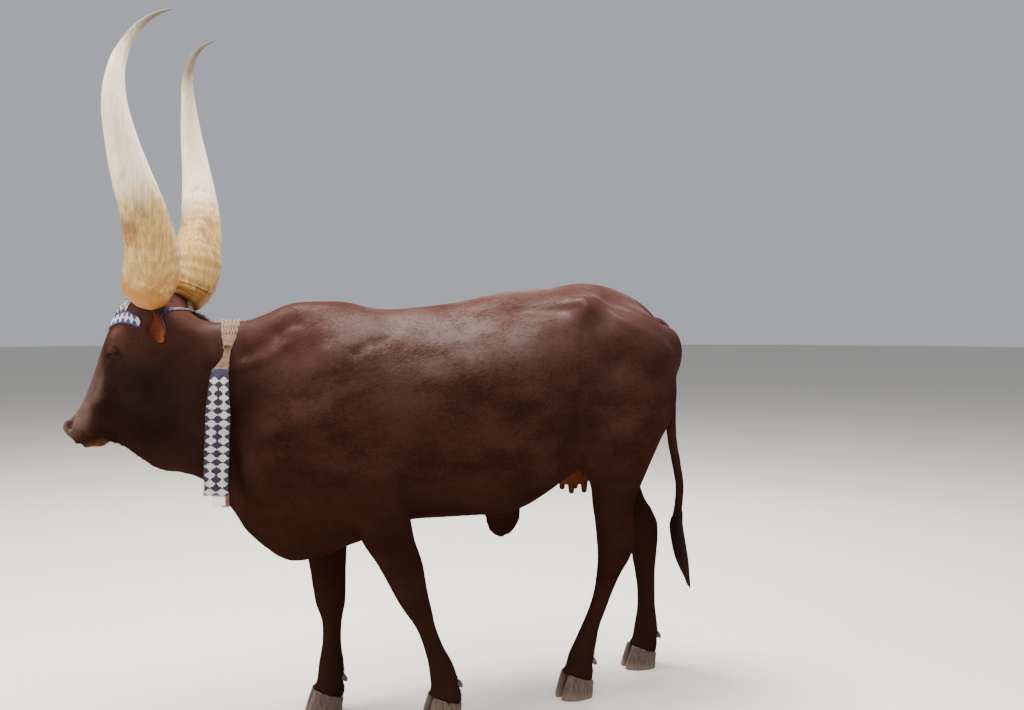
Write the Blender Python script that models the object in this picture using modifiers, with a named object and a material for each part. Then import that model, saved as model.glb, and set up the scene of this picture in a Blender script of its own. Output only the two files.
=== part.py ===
"""A long-horned African cow standing still, life size, with beaded ornaments.

The body is lofted through named anatomical sections, fused, softened and pressed
into shape, then parted into head, neck, torso, udder and legs by thin cuts.
Horns, eyes, ears, claws, tail and ornaments are separate solids.
X points to the head end, Y to the animal's left, Z up; withers at x = 0.
"""
import bpy
import bmesh
import math
import numpy as np
from mathutils import Vector, Matrix
from mathutils.bvhtree import BVHTree

GAP = 0.0003
VOXEL = 0.009
HEAD_TURN = math.radians(-26.0)
HEAD_FOOT = (0.42, -0.09)
FACE_SLOPE = math.radians(51.5)
POLL_AHEAD = 0.02
POLL_HEIGHT = 1.354
EYE_RADIUS = 0.0225
EYE_PLACE = (0.189, -0.018, 0.087)
LID_THICKNESS = 0.0040
BODY_FACES = 6300
HEAD_CARE = 0.00001
CLAW_SPLIT = 0.008
STRIP_TOP = 1.148
STRIP_LENGTH = 0.376

for old in list(bpy.data.objects):
    bpy.data.objects.remove(old, do_unlink=True)

cow = bpy.data.collections.new("cow")
shapers = bpy.data.collections.new("cutters")
bpy.context.scene.collection.children.link(cow)
bpy.context.scene.collection.children.link(shapers)

heading = np.array([math.cos(HEAD_TURN), math.sin(HEAD_TURN), 0.0])
leftward = np.array([-math.sin(HEAD_TURN), math.cos(HEAD_TURN), 0.0])
upward = np.array([0.0, 0.0, 1.0])
face_down = math.cos(FACE_SLOPE) * heading - math.sin(FACE_SLOPE) * upward
face_out = math.sin(FACE_SLOPE) * heading + math.cos(FACE_SLOPE) * upward
poll = np.array([HEAD_FOOT[0], HEAD_FOOT[1], 0.0]) + POLL_AHEAD * heading + POLL_HEIGHT * upward


def on_face(along, out, side):
    """A point of the head from its distance down the face, out of it and to the left."""
    return poll + along * face_down + out * face_out + side * leftward


def beside_head(ahead, height, side):
    """A point from its distance ahead of the head's foot, its height and its left offset."""
    return np.array([HEAD_FOOT[0], HEAD_FOOT[1], 0.0]) + ahead * heading + side * leftward + height * upward


def smooth_rows(rows, steps):
    """Rows of station numbers with steps in-between rows, by Catmull-Rom curves."""
    rows = np.array(rows, dtype=float)
    padded = np.vstack([2 * rows[0] - rows[1], rows, 2 * rows[-1] - rows[-2]])
    result = []
    for i in range(len(rows) - 1):
        a, b, c, d = padded[i:i + 4]
        for k in range(steps):
            t = k / steps
            result.append(0.5 * (2 * b + (c - a) * t + (2 * a - 5 * b + 4 * c - d) * t ** 2
                                 + (3 * b - a - 3 * c + d) * t ** 3))
    result.append(rows[-1])
    return np.array(result)


def ring(centre, side, up, half, above, below, box=2.2, thin_top=0.0, thin_low=0.0, count=24):
    """A closed rounded outline round a centre, half wide, above and below it."""
    turn = np.arange(count) * 2 * math.pi / count
    across = np.sign(np.cos(turn)) * np.abs(np.cos(turn)) ** (2 / box)
    rise = np.sign(np.sin(turn)) * np.abs(np.sin(turn)) ** (2 / box)
    narrow = 1 - thin_top * np.clip(rise, 0, 1) ** 2 - thin_low * np.clip(-rise, 0, 1) ** 2
    tall = np.where(rise > 0, above, below)
    return (np.asarray(centre)[None, :] + np.outer(across * narrow * half, side)
            + np.outer(rise * tall, up))


def add_mesh(name, points, faces, group):
    mesh = bpy.data.meshes.new(name)
    mesh.from_pydata([tuple(p) for p in points], [], faces)
    shell = bmesh.new()
    shell.from_mesh(mesh)
    bmesh.ops.recalc_face_normals(shell, faces=shell.faces)
    shell.to_mesh(mesh)
    shell.free()
    item = bpy.data.objects.new(name, mesh)
    group.objects.link(item)
    return item


def skin_rings(name, rings, group=cow, closed=False):
    """A closed solid through the rings, capped flat at both ends or joined end to start."""
    count = len(rings[0])
    points = np.vstack(rings)
    faces = []
    for i in range(len(rings) if closed else len(rings) - 1):
        for j in range(count):
            k = (j + 1) % count
            at, to = i * count, (i + 1) % len(rings) * count
            faces.append((at + j, at + k, to + k, to + j))
    if not closed:
        faces.append(tuple(range(count)))
        last = (len(rings) - 1) * count
        faces.append(tuple(last + j for j in range(count)))
    return add_mesh(name, points, faces, group)


def ball(name, centre, radii, yaw=0.0, pitch=0.0, roll=0.0, group=shapers, parts=18):
    """An ellipsoid muscle or eyeball, its turn given in degrees."""
    shell = bmesh.new()
    bmesh.ops.create_uvsphere(shell, u_segments=parts, v_segments=parts * 5 // 9, radius=1.0)
    turn = Matrix.Rotation(math.radians(yaw), 4, "Z") @ Matrix.Rotation(math.radians(pitch), 4, "Y")
    turn = turn @ Matrix.Rotation(math.radians(roll), 4, "X")
    shell.transform(Matrix.Translation(Vector(centre)) @ turn @ Matrix.Diagonal((*radii, 1.0)))
    mesh = bpy.data.meshes.new(name)
    shell.to_mesh(mesh)
    shell.free()
    item = bpy.data.objects.new(name, mesh)
    group.objects.link(item)
    return item


def block(name, low, high, turn=None, group=shapers):
    """A box from its low and high corners, turned afterwards by a matrix."""
    shell = bmesh.new()
    bmesh.ops.create_cube(shell, size=1.0)
    low, high = Vector(low), Vector(high)
    shell.transform(Matrix.Translation((low + high) / 2) @ Matrix.Diagonal((*(high - low), 1.0)))
    if turn is not None:
        shell.transform(turn)
    mesh = bpy.data.meshes.new(name)
    shell.to_mesh(mesh)
    shell.free()
    item = bpy.data.objects.new(name, mesh)
    item.hide_render = True
    item.display_type = "WIRE"
    group.objects.link(item)
    return item


def settle(item):
    """Turns an object's modifiers into plain mesh."""
    bpy.context.view_layer.update()
    tree = bpy.context.evaluated_depsgraph_get()
    mesh = bpy.data.meshes.new_from_object(item.evaluated_get(tree))
    item.modifiers.clear()
    item.data = mesh


def fuse(name, pieces, voxel):
    """Joins overlapping closed pieces into one even skin."""
    points, faces, start = [], [], 0
    for piece in pieces:
        points += [piece.matrix_world @ v.co for v in piece.data.vertices]
        faces += [tuple(start + i for i in p.vertices) for p in piece.data.polygons]
        start = len(points)
        bpy.data.objects.remove(piece, do_unlink=True)
    mesh = bpy.data.meshes.new(name)
    mesh.from_pydata(points, [], faces)
    item = bpy.data.objects.new(name, mesh)
    cow.objects.link(item)
    remesh = item.modifiers.new("even skin", "REMESH")
    remesh.mode = "VOXEL"
    remesh.voxel_size = voxel
    settle(item)
    return item


def read_points(item):
    points = np.empty(len(item.data.vertices) * 3, dtype=np.float32)
    item.data.vertices.foreach_get("co", points)
    return points.reshape(-1, 3).astype(float)


def write_points(item, points):
    item.data.vertices.foreach_set("co", points.astype(np.float32).ravel())
    item.data.update()


def read_normals(item):
    normals = np.empty(len(item.data.vertices) * 3, dtype=np.float32)
    item.data.vertices.foreach_get("normal", normals)
    return normals.reshape(-1, 3).astype(float)


def relax(item, rounds, weight):
    """Laplacian softening, its strength given for each point."""
    edges = np.empty(len(item.data.edges) * 2, dtype=np.int64)
    item.data.edges.foreach_get("vertices", edges)
    a, b = edges[0::2], edges[1::2]
    points = read_points(item)
    total = len(points)
    degree = np.maximum(np.bincount(a, minlength=total) + np.bincount(b, minlength=total), 1)
    for _ in range(rounds):
        mean = np.empty_like(points)
        for axis in range(3):
            mean[:, axis] = (np.bincount(a, points[b, axis], total)
                             + np.bincount(b, points[a, axis], total)) / degree
        points += (mean - points) * weight[:, None]
    write_points(item, points)


def reach(points, path):
    """Distance of each point from a path of straight legs."""
    path = np.array(path, dtype=float)
    if len(path) == 1:
        return np.linalg.norm(points - path[0], axis=1)
    best = np.full(len(points), 1e9)
    for start, end in zip(path[:-1], path[1:]):
        leg = end - start
        t = np.clip((points - start) @ leg / (leg @ leg), 0, 1)
        best = np.minimum(best, np.linalg.norm(points - start - t[:, None] * leg, axis=1))
    return best


def press(item, strokes):
    """Raises or sinks the skin along its normals in soft strokes of path, width and height."""
    points = read_points(item)
    normals = read_normals(item)
    shift = np.zeros(len(points))
    for path, width, height in strokes:
        shift += height * np.exp(-(reach(points, path) / width) ** 2)
    write_points(item, points + normals * shift[:, None])


def both_sides(path):
    """A path given left of the body, and its mirror image on the right."""
    path = np.array(path, dtype=float)
    return [path, path * np.array([1, -1, 1])]


def head_sides(path):
    return [[on_face(a, o, s * k) for a, o, s in path] for k in (1, -1)]


# Trunk: station, height of the widest level, top, underside, half width and box, thin top, thin low
TRUNK = [
    (0.245, 0.92, 1.10, 0.74, 0.085, 2.0, 0.3, 0.3),
    (0.200, 0.91, 1.235, 0.64, 0.150, 2.1, 0.45, 0.4),
    (0.100, 0.92, 1.342, 0.57, 0.198, 2.2, 0.58, 0.5),
    (0.000, 0.94, 1.361, 0.555, 0.218, 2.2, 0.58, 0.5),
    (-0.120, 0.96, 1.359, 0.573, 0.237, 2.3, 0.55, 0.4),
    (-0.200, 0.965, 1.336, 0.600, 0.251, 2.3, 0.49, 0.35),
    (-0.292, 0.97, 1.335, 0.640, 0.266, 2.3, 0.47, 0.3),
    (-0.480, 0.97, 1.356, 0.642, 0.292, 2.3, 0.45, 0.2),
    (-0.660, 0.98, 1.396, 0.645, 0.290, 2.3, 0.38, 0.2),
    (-0.780, 1.02, 1.405, 0.698, 0.262, 2.5, 0.26, 0.2),
    (-0.860, 1.10, 1.412, 0.748, 0.238, 2.7, 0.20, 0.2),
    (-0.940, 1.12, 1.426, 0.788, 0.226, 2.7, 0.24, 0.2),
    (-1.050, 1.11, 1.413, 0.850, 0.204, 2.5, 0.34, 0.1),
    (-1.160, 1.10, 1.374, 0.900, 0.172, 2.4, 0.38, 0.1),
    (-1.235, 1.12, 1.312, 0.980, 0.115, 2.2, 0.30, 0.1),
]

# Neck: place ahead, place left, widest level, top, underside, half width, turn in degrees
NECK = [
    (0.020, 0.000, 1.00, 1.345, 0.64, 0.185, 0),
    (0.120, 0.000, 1.02, 1.328, 0.70, 0.158, -2),
    (0.200, -0.010, 1.06, 1.298, 0.76, 0.132, -8),
    (0.270, -0.028, 1.09, 1.297, 0.83, 0.112, -14),
    (0.345, -0.055, 1.12, 1.304, 0.90, 0.097, -20),
    (0.420, -0.090, 1.13, 1.308, 0.94, 0.088, -25),
    (0.480, -0.119, 1.13, 1.312, 0.97, 0.080, -26),
]

# Dewlap and brisket: place ahead, place left, top, lower edge, half width
DEWLAP = [
    (0.588, -0.172, 1.04, 0.918, 0.044),
    (0.545, -0.151, 1.04, 0.898, 0.046),
    (0.500, -0.129, 1.04, 0.862, 0.038),
    (0.450, -0.105, 1.04, 0.822, 0.030),
    (0.380, -0.070, 1.02, 0.808, 0.028),
    (0.320, -0.045, 0.98, 0.786, 0.034),
    (0.254, -0.020, 0.95, 0.722, 0.052),
    (0.189, -0.008, 0.90, 0.628, 0.070),
    (0.110, 0.000, 0.85, 0.556, 0.078),
    (0.050, 0.000, 0.80, 0.532, 0.076),
    (-0.030, 0.000, 0.80, 0.540, 0.070),
    (-0.107, 0.000, 0.80, 0.563, 0.066),
    (-0.180, 0.000, 0.80, 0.600, 0.060),
]

# Head: distance down the face, top, widest level, underside, half width, box, thin top, thin low
HEAD = [
    (-0.022, -0.105, -0.13, -0.180, 0.068, 2.1, 0.1, 0.2),
    (-0.009, -0.022, -0.09, -0.215, 0.092, 2.2, 0.1, 0.3),
    (0.030, 0.056, -0.06, -0.245, 0.106, 2.3, 0.15, 0.3),
    (0.090, 0.080, -0.05, -0.262, 0.107, 2.3, 0.18, 0.36),
    (0.150, 0.070, -0.05, -0.268, 0.106, 2.3, 0.18, 0.38),
    (0.205, 0.055, -0.05, -0.262, 0.103, 2.3, 0.22, 0.40),
    (0.250, 0.043, -0.06, -0.247, 0.092, 2.3, 0.32, 0.40),
    (0.300, 0.028, -0.07, -0.222, 0.079, 2.3, 0.38, 0.38),
    (0.360, 0.010, -0.07, -0.190, 0.068, 2.3, 0.36, 0.36),
    (0.415, -0.003, -0.07, -0.155, 0.064, 2.3, 0.30, 0.32),
    (0.455, -0.007, -0.065, -0.130, 0.067, 2.5, 0.20, 0.30),
    (0.484, -0.015, -0.060, -0.117, 0.063, 2.6, 0.15, 0.30),
    (0.500, -0.030, -0.060, -0.102, 0.048, 2.5, 0.1, 0.2),
]

# Strokes on the body, mirrored: width, height and path
BODY_STROKES = [
    (0.028, -0.010, [(0.205, 0.080, 1.188), (0.160, 0.083, 1.208), (0.120, 0.077, 1.232)]),
    (0.020, -0.010, [(0.108, 0.069, 1.255), (0.054, 0.061, 1.280)]),
    (0.018, 0.005, [(0.226, 0.093, 1.149), (0.145, 0.103, 1.175), (0.095, 0.101, 1.214)]),
    (0.026, -0.009, [(0.085, 0.115, 1.190), (0.085, 0.180, 1.056), (0.100, 0.200, 0.882)]),
    (0.018, -0.007, [(-0.112, 0.160, 1.189), (-0.150, 0.141, 1.209), (-0.203, 0.133, 1.227)]),
    (0.040, -0.007, [(-0.19, 0.25, 1.08), (-0.20, 0.24, 0.88)]),
    (0.028, 0.007, [(-0.02, 0.16, 1.20), (-0.03, 0.20, 1.08), (-0.01, 0.21, 0.95)]),
    (0.016, -0.006, [(-0.062, 0.19, 1.09), (-0.065, 0.212, 0.98), (-0.05, 0.218, 0.90)]),
    (0.024, 0.006, [(-0.105, 0.21, 1.07), (-0.105, 0.222, 0.98), (-0.09, 0.222, 0.91)]),
    (0.026, -0.006, [(-0.02, 0.22, 0.90), (-0.13, 0.22, 0.80)]),
    (0.024, -0.009, [(-0.640, 0.126, 1.322), (-0.759, 0.148, 1.319), (-0.845, 0.180, 1.336)]),
    (0.065, -0.012, [(-0.775, 0.25, 1.24), (-0.80, 0.27, 1.14)]),
    (0.020, 0.006, [(-0.905, 0.10, 1.405), (-0.866, 0.19, 1.36), (-0.858, 0.215, 1.29)]),
    (0.030, -0.013, [(-0.893, 0.198, 1.275), (-0.913, 0.207, 1.211), (-0.949, 0.223, 1.129)]),
    (0.022, 0.008, [(-0.925, 0.145, 1.362), (-0.993, 0.195, 1.293), (-1.097, 0.213, 1.233), (-1.190, 0.180, 1.195)]),
    (0.022, -0.005, [(-0.985, 0.125, 1.366), (-1.069, 0.165, 1.325)]),
    (0.026, -0.010, [(-1.15, 0.05, 1.355), (-1.21, 0.06, 1.29)]),
    (0.020, -0.005, [(-0.855, 0.205, 1.260), (-0.832, 0.239, 1.034)]),
    (0.050, -0.010, [(-0.80, 0.24, 0.86), (-0.86, 0.23, 0.98)]),
    (0.035, -0.006, [(-0.90, 0.25, 1.12), (-0.93, 0.25, 1.02), (-0.93, 0.25, 0.90)]),
]

# Strokes on the head, mirrored: width, height and path down the face, out of it and to the left
HEAD_STROKES = [
    (0.022, 0.005, [(0.136, 0.004, 0.098), (0.158, -0.006, 0.103), (0.182, -0.004, 0.100)]),
    (0.010, -0.004, [(0.175, -0.064, 0.104), (0.205, -0.060, 0.102), (0.228, -0.040, 0.097)]),
    (0.011, 0.006, [(0.224, -0.018, 0.094), (0.260, -0.051, 0.091), (0.300, -0.064, 0.077)]),
    (0.020, -0.005, [(0.250, -0.088, 0.095), (0.300, -0.114, 0.076)]),
    (0.008, -0.005, [(0.337, -0.050, 0.064), (0.323, -0.075, 0.076), (0.308, -0.092, 0.078)]),
    (0.010, 0.006, [(0.330, -0.086, 0.073), (0.357, -0.077, 0.069), (0.393, -0.072, 0.067), (0.419, -0.083, 0.065)]),
    (0.013, -0.005, [(0.270, -0.012, 0.078), (0.325, -0.032, 0.056), (0.375, -0.033, 0.052)]),
    (0.024, -0.008, [(0.320, -0.124, 0.068), (0.355, -0.116, 0.062), (0.400, -0.110, 0.056)]),
]

# Strokes on the muzzle: lip line, upper lip, lower lip, nostril, its front rim and its wing
MUZZLE_STROKES = [
    (0.0050, -0.0065, [(0.508, -0.081, 0.0), (0.498, -0.083, 0.026), (0.478, -0.086, 0.052), (0.461, -0.101, 0.057),
                       (0.443, -0.114, 0.052), (0.418, -0.125, 0.046)]),
    (0.0100, 0.0035, [(0.494, -0.070, 0.030), (0.470, -0.076, 0.058), (0.445, -0.095, 0.060)]),
    (0.0090, 0.0040, [(0.490, -0.099, 0.026), (0.462, -0.116, 0.044), (0.436, -0.128, 0.044)]),
    (0.0070, -0.0140, [(0.447, -0.015, 0.044), (0.457, -0.026, 0.052), (0.470, -0.038, 0.055)]),
    (0.0080, 0.0040, [(0.470, -0.010, 0.036), (0.482, -0.026, 0.046), (0.486, -0.042, 0.050)]),
    (0.0080, 0.0035, [(0.436, -0.018, 0.048), (0.444, -0.034, 0.060), (0.460, -0.050, 0.064)]),
]

# Legs: height, place ahead, half depth, place left, half width
NEAR_FORE = [
    (1.05, -0.02, 0.130, 0.150, 0.070),
    (0.95, -0.04, 0.150, 0.165, 0.078),
    (0.80, -0.11, 0.140, 0.165, 0.082),
    (0.72, -0.16, 0.112, 0.158, 0.074),
    (0.657, -0.195, 0.090, 0.150, 0.064),
    (0.602, -0.214, 0.084, 0.144, 0.057),
    (0.533, -0.250, 0.074, 0.137, 0.050),
    (0.464, -0.276, 0.062, 0.130, 0.046),
    (0.410, -0.296, 0.053, 0.126, 0.047),
    (0.370, -0.314, 0.046, 0.122, 0.044),
    (0.322, -0.336, 0.035, 0.118, 0.034),
    (0.278, -0.355, 0.033, 0.114, 0.030),
    (0.235, -0.372, 0.035, 0.110, 0.031),
    (0.194, -0.390, 0.041, 0.107, 0.037),
    (0.145, -0.403, 0.045, 0.104, 0.043),
    (0.110, -0.408, 0.046, 0.101, 0.044),
    (0.075, -0.410, 0.053, 0.100, 0.050),
    (0.030, -0.406, 0.053, 0.100, 0.050),
]
FAR_FORE = [
    (1.05, -0.02, 0.130, -0.150, 0.070),
    (0.95, 0.00, 0.150, -0.165, 0.078),
    (0.80, -0.05, 0.135, -0.165, 0.082),
    (0.72, -0.06, 0.110, -0.158, 0.074),
    (0.657, -0.068, 0.088, -0.150, 0.064),
    (0.602, -0.072, 0.078, -0.145, 0.057),
    (0.533, -0.076, 0.069, -0.138, 0.050),
    (0.477, -0.079, 0.062, -0.132, 0.046),
    (0.417, -0.082, 0.057, -0.126, 0.046),
    (0.355, -0.085, 0.050, -0.122, 0.044),
    (0.310, -0.088, 0.037, -0.119, 0.034),
    (0.270, -0.088, 0.0335, -0.116, 0.030),
    (0.220, -0.086, 0.034, -0.112, 0.031),
    (0.175, -0.084, 0.041, -0.108, 0.038),
    (0.140, -0.082, 0.0435, -0.105, 0.043),
    (0.105, -0.077, 0.044, -0.102, 0.043),
    (0.075, -0.072, 0.052, -0.100, 0.050),
    (0.030, -0.066, 0.052, -0.100, 0.050),
]
NEAR_HIND = [
    (1.16, -1.06, 0.150, 0.120, 0.080),
    (1.02, -1.045, 0.178, 0.150, 0.100),
    (0.91, -1.014, 0.158, 0.168, 0.098),
    (0.83, -1.001, 0.130, 0.174, 0.088),
    (0.752, -0.996, 0.098, 0.170, 0.073),
    (0.675, -0.989, 0.076, 0.160, 0.058),
    (0.610, -0.998, 0.071, 0.150, 0.047),
    (0.555, -1.008, 0.072, 0.141, 0.043),
    (0.510, -1.011, 0.067, 0.134, 0.044),
    (0.470, -1.005, 0.057, 0.129, 0.043),
    (0.431, -0.992, 0.046, 0.124, 0.037),
    (0.365, -0.976, 0.036, 0.113, 0.029),
    (0.300, -0.957, 0.034, 0.103, 0.027),
    (0.240, -0.935, 0.0355, 0.094, 0.029),
    (0.185, -0.920, 0.042, 0.086, 0.036),
    (0.145, -0.909, 0.046, 0.080, 0.042),
    (0.110, -0.903, 0.047, 0.075, 0.043),
    (0.080, -0.899, 0.053, 0.072, 0.049),
    (0.030, -0.893, 0.053, 0.070, 0.049),
]
FAR_HIND = [
    (1.16, -1.06, 0.150, -0.120, 0.080),
    (1.02, -1.07, 0.180, -0.150, 0.100),
    (0.91, -1.09, 0.165, -0.168, 0.098),
    (0.83, -1.12, 0.135, -0.172, 0.086),
    (0.752, -1.155, 0.100, -0.166, 0.070),
    (0.675, -1.188, 0.078, -0.156, 0.055),
    (0.620, -1.215, 0.068, -0.146, 0.046),
    (0.569, -1.240, 0.066, -0.136, 0.042),
    (0.520, -1.260, 0.065, -0.128, 0.044),
    (0.470, -1.266, 0.057, -0.122, 0.043),
    (0.420, -1.266, 0.051, -0.118, 0.037),
    (0.360, -1.268, 0.043, -0.116, 0.030),
    (0.300, -1.272, 0.0385, -0.114, 0.027),
    (0.230, -1.273, 0.037, -0.113, 0.029),
    (0.180, -1.272, 0.042, -0.112, 0.036),
    (0.140, -1.270, 0.046, -0.111, 0.042),
    (0.105, -1.264, 0.048, -0.110, 0.043),
    (0.075, -1.256, 0.053, -0.110, 0.049),
    (0.030, -1.248, 0.052, -0.110, 0.049),
]


def trunk_piece():
    rings = []
    for x, mid, top, low, half, box, thin_top, thin_low in smooth_rows(TRUNK, 3):
        rings.append(ring((x, 0, mid), (0, 1, 0), upward, half, top - mid, mid - low, box, thin_top, thin_low, 32))
    return skin_rings("trunk", rings, shapers)


def neck_piece():
    rings = []
    for x, y, mid, top, low, half, turn in smooth_rows(NECK, 3):
        side = (-math.sin(math.radians(turn)), math.cos(math.radians(turn)), 0)
        rings.append(ring((x, y, mid), side, upward, half, top - mid, mid - low, 2.1, 0.5, 0.35))
    return skin_rings("neck shape", rings, shapers)


def dewlap_piece():
    rings = []
    rows = smooth_rows(DEWLAP, 3)
    for i, (x, y, top, low, half) in enumerate(rows):
        ahead = rows[max(i - 1, 0)] - rows[min(i + 1, len(rows) - 1)]
        side = np.array([-ahead[1], ahead[0], 0]) / math.hypot(ahead[0], ahead[1])
        mid = (top + low) / 2
        rings.append(ring((x, y, mid), side, upward, half, top - mid, mid - low, 2.1, 0.0, 0.45, 16))
    return skin_rings("dewlap", rings, shapers)


def head_piece():
    rings = []
    for along, top, mid, low, half, box, thin_top, thin_low in smooth_rows(HEAD, 3):
        rings.append(ring(on_face(along, mid, 0), leftward, face_out, half, top - mid, mid - low, box,
                          thin_top, thin_low, 32))
    return skin_rings("head shape", rings, shapers)


def leg_piece(name, rows):
    rings = []
    for z, x, depth, y, half in smooth_rows(rows, 2):
        rings.append(ring((x, y, z), (0, 1, 0), (1, 0, 0), half, depth, depth, 2.1, count=20))
    return skin_rings(name, rings, shapers)


def muscles():
    made = []
    for k in (1, -1):
        lag = 0.0 if k > 0 else 0.05
        made.append(ball("shoulder blade", (-0.035, 0.110 * k, 1.06), (0.110, 0.090, 0.225), pitch=-16, roll=8 * k))
        made.append(ball("shoulder point", (0.120 + 0.3 * lag, 0.140 * k, 0.93), (0.085, 0.075, 0.105)))
        made.append(ball("upper arm", (-0.02, 0.150 * k, 0.83), (0.160, 0.072, 0.090), pitch=26))
        made.append(ball("hook", (-0.868, 0.152 * k, 1.330), (0.066, 0.056, 0.048), yaw=-14 * k, roll=10 * k))
        made.append(ball("rump", (-1.03, 0.125 * k, 1.20), (0.190, 0.105, 0.150)))
        made.append(ball("pin", (-1.232, 0.108 * k, 1.180), (0.063, 0.050, 0.105)))
        made.append(ball("thigh", (-1.060 - 0.6 * lag, 0.138 * k, 1.05), (0.190, 0.102, 0.215), pitch=8))
        made.append(ball("stifle", (-0.910 - lag, 0.180 * k, 0.83), (0.070, 0.052, 0.085), pitch=20))
        made.append(ball("cheek", on_face(0.20, -0.15, 0.048 * k), (0.075, 0.040, 0.080)))
        made.append(ball("horn seat", on_face(0.008, -0.006, 0.098 * k), (0.056, 0.056, 0.046)))
        along, out, side = EYE_PLACE
        made.append(ball("eye bulge", on_face(along, out, side * k), (EYE_RADIUS + LID_THICKNESS,) * 3))
        made.append(ball("brow", on_face(0.152, -0.008, 0.078 * k), (0.036, 0.034, 0.035)))
        made.append(ball("nostril wing", on_face(0.474, -0.030, 0.036 * k), (0.026, 0.024, 0.028)))
    made.append(ball("chin", on_face(0.462, -0.110, 0.0), (0.030, 0.038, 0.024)))
    made.append(ball("tail root", (-1.220, 0.0, 1.270), (0.050, 0.040, 0.034), pitch=35))
    made.append(ball("navel fold", (-0.652, 0.0, 0.632), (0.066, 0.022, 0.080), pitch=-14))
    return made


def shape_strokes():
    """Soft strokes of path, width and height: muscles, hollows, hocks and the forms of the head."""
    strokes = []
    for width, height, path in BODY_STROKES:
        strokes += [(side, width, height) for side in both_sides(path)]
    for x, y in ((-1.064, 0.138), (-1.312, -0.128)):
        strokes.append(([(x - 0.005, y, 0.545), (x + 0.01, y, 0.590)], 0.028, 0.007))
    for x, y in ((-0.988, 0.148), (-1.240, -0.130)):
        for k in (1, -1):
            strokes.append(([(x - 0.035, y + 0.04 * k, 0.60), (x - 0.02, y + 0.036 * k, 0.70)], 0.018, -0.009))
    for width, height, path in HEAD_STROKES:
        strokes += [(side, width, height) for side in head_sides(path)]
    return strokes


def refine(item, chosen):
    """Splits the faces between chosen points in four."""
    shell = bmesh.new()
    shell.from_mesh(item.data)
    edges = [e for e in shell.edges if chosen[e.verts[0].index] and chosen[e.verts[1].index]]
    bmesh.ops.subdivide_edges(shell, edges=edges, cuts=1, use_grid_fill=True)
    bmesh.ops.triangulate(shell, faces=[f for f in shell.faces if len(f.verts) > 4])
    shell.to_mesh(item.data)
    shell.free()


def build_body():
    pieces = [trunk_piece(), neck_piece(), dewlap_piece(), head_piece()]
    pieces += [leg_piece("near fore", NEAR_FORE), leg_piece("far fore", FAR_FORE)]
    pieces += [leg_piece("near hind", NEAR_HIND), leg_piece("far hind", FAR_HIND)]
    pieces += muscles()
    body = fuse("torso", pieces, VOXEL)
    points = read_points(body)
    from_face = np.linalg.norm(points - on_face(0.27, -0.06, 0), axis=1)
    broad = np.clip((points[:, 2] - 0.66) / 0.15, 0, 1) * np.clip((from_face - 0.25) / 0.08, 0, 1)
    broad = broad * (1 - 0.7 * np.exp(-(reach(points, [(0.50, -0.13, 0.86), (0.25, -0.02, 0.72)]) / 0.06) ** 2))
    broad = broad * (1 - 0.85 * np.exp(-(reach(points, [(-0.61, 0.0, 0.60), (-0.69, 0.0, 0.60)]) / 0.05) ** 2))
    relax(body, 60, 0.5 * broad)
    relax(body, 5, 0.5 * np.clip((points[:, 2] - 0.10) / 0.08, 0, 1))
    press(body, shape_strokes())
    relax(body, 2, np.full(len(points), 0.25))
    muzzle = [on_face(0.40, -0.07, 0), on_face(0.48, -0.06, 0)]
    refine(body, reach(points, muzzle) < 0.10)
    near = np.clip((0.11 - reach(read_points(body), muzzle)) / 0.02, 0, 1)
    relax(body, 2, 0.5 * near)
    press(body, [(side, width, height) for width, height, path in MUZZLE_STROKES for side in head_sides(path)])
    return body


def thin_out(item, faces):
    """Fewer faces, spent mostly on the head and then on the legs."""
    points = read_points(item)
    from_face = np.linalg.norm(points - on_face(0.25, -0.06, 0), axis=1)
    coarse = 1 - 0.6 * np.clip((0.33 - from_face) / 0.06, 0, 1)
    coarse = np.minimum(coarse, 1 - 0.2 * (points[:, 2] < 0.6))
    group = item.vertex_groups.new(name="coarse")
    for level in range(1, 11):
        chosen = np.nonzero(np.round(coarse * 10).astype(int) == level)[0]
        if len(chosen):
            group.add([int(i) for i in chosen], level / 10, "REPLACE")
    now = sum(len(p.vertices) - 2 for p in item.data.polygons)
    thin = item.modifiers.new("thin out", "DECIMATE")
    thin.ratio = faces / now
    thin.vertex_group = "coarse"
    thin.vertex_group_factor = HEAD_CARE
    settle(item)
    item.vertex_groups.clear()


def cut(item, tool, how, solver="EXACT"):
    op = item.modifiers.new("cut", "BOOLEAN")
    op.object = tool
    op.operation = how
    op.solver = solver
    settle(item)


def keep_largest(item):
    """Leaves only the largest closed surface of an object."""
    shell = bmesh.new()
    shell.from_mesh(item.data)
    bmesh.ops.remove_doubles(shell, verts=shell.verts, dist=0.00002)
    shell.verts.ensure_lookup_table()
    seen, groups = set(), []
    for vert in shell.verts:
        if vert in seen:
            continue
        stack, group = [vert], []
        seen.add(vert)
        while stack:
            at = stack.pop()
            group.append(at)
            for edge in at.link_edges:
                other = edge.other_vert(at)
                if other not in seen:
                    seen.add(other)
                    stack.append(other)
        groups.append(group)
    groups.sort(key=len)
    for group in groups[:-1]:
        bmesh.ops.delete(shell, geom=group, context="VERTS")
    bmesh.ops.triangulate(shell, faces=[f for f in shell.faces if len(f.verts) > 4])
    shell.to_mesh(item.data)
    shell.free()


def copy_of(item, name):
    twin = bpy.data.objects.new(name, item.data.copy())
    cow.objects.link(twin)
    return twin


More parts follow.
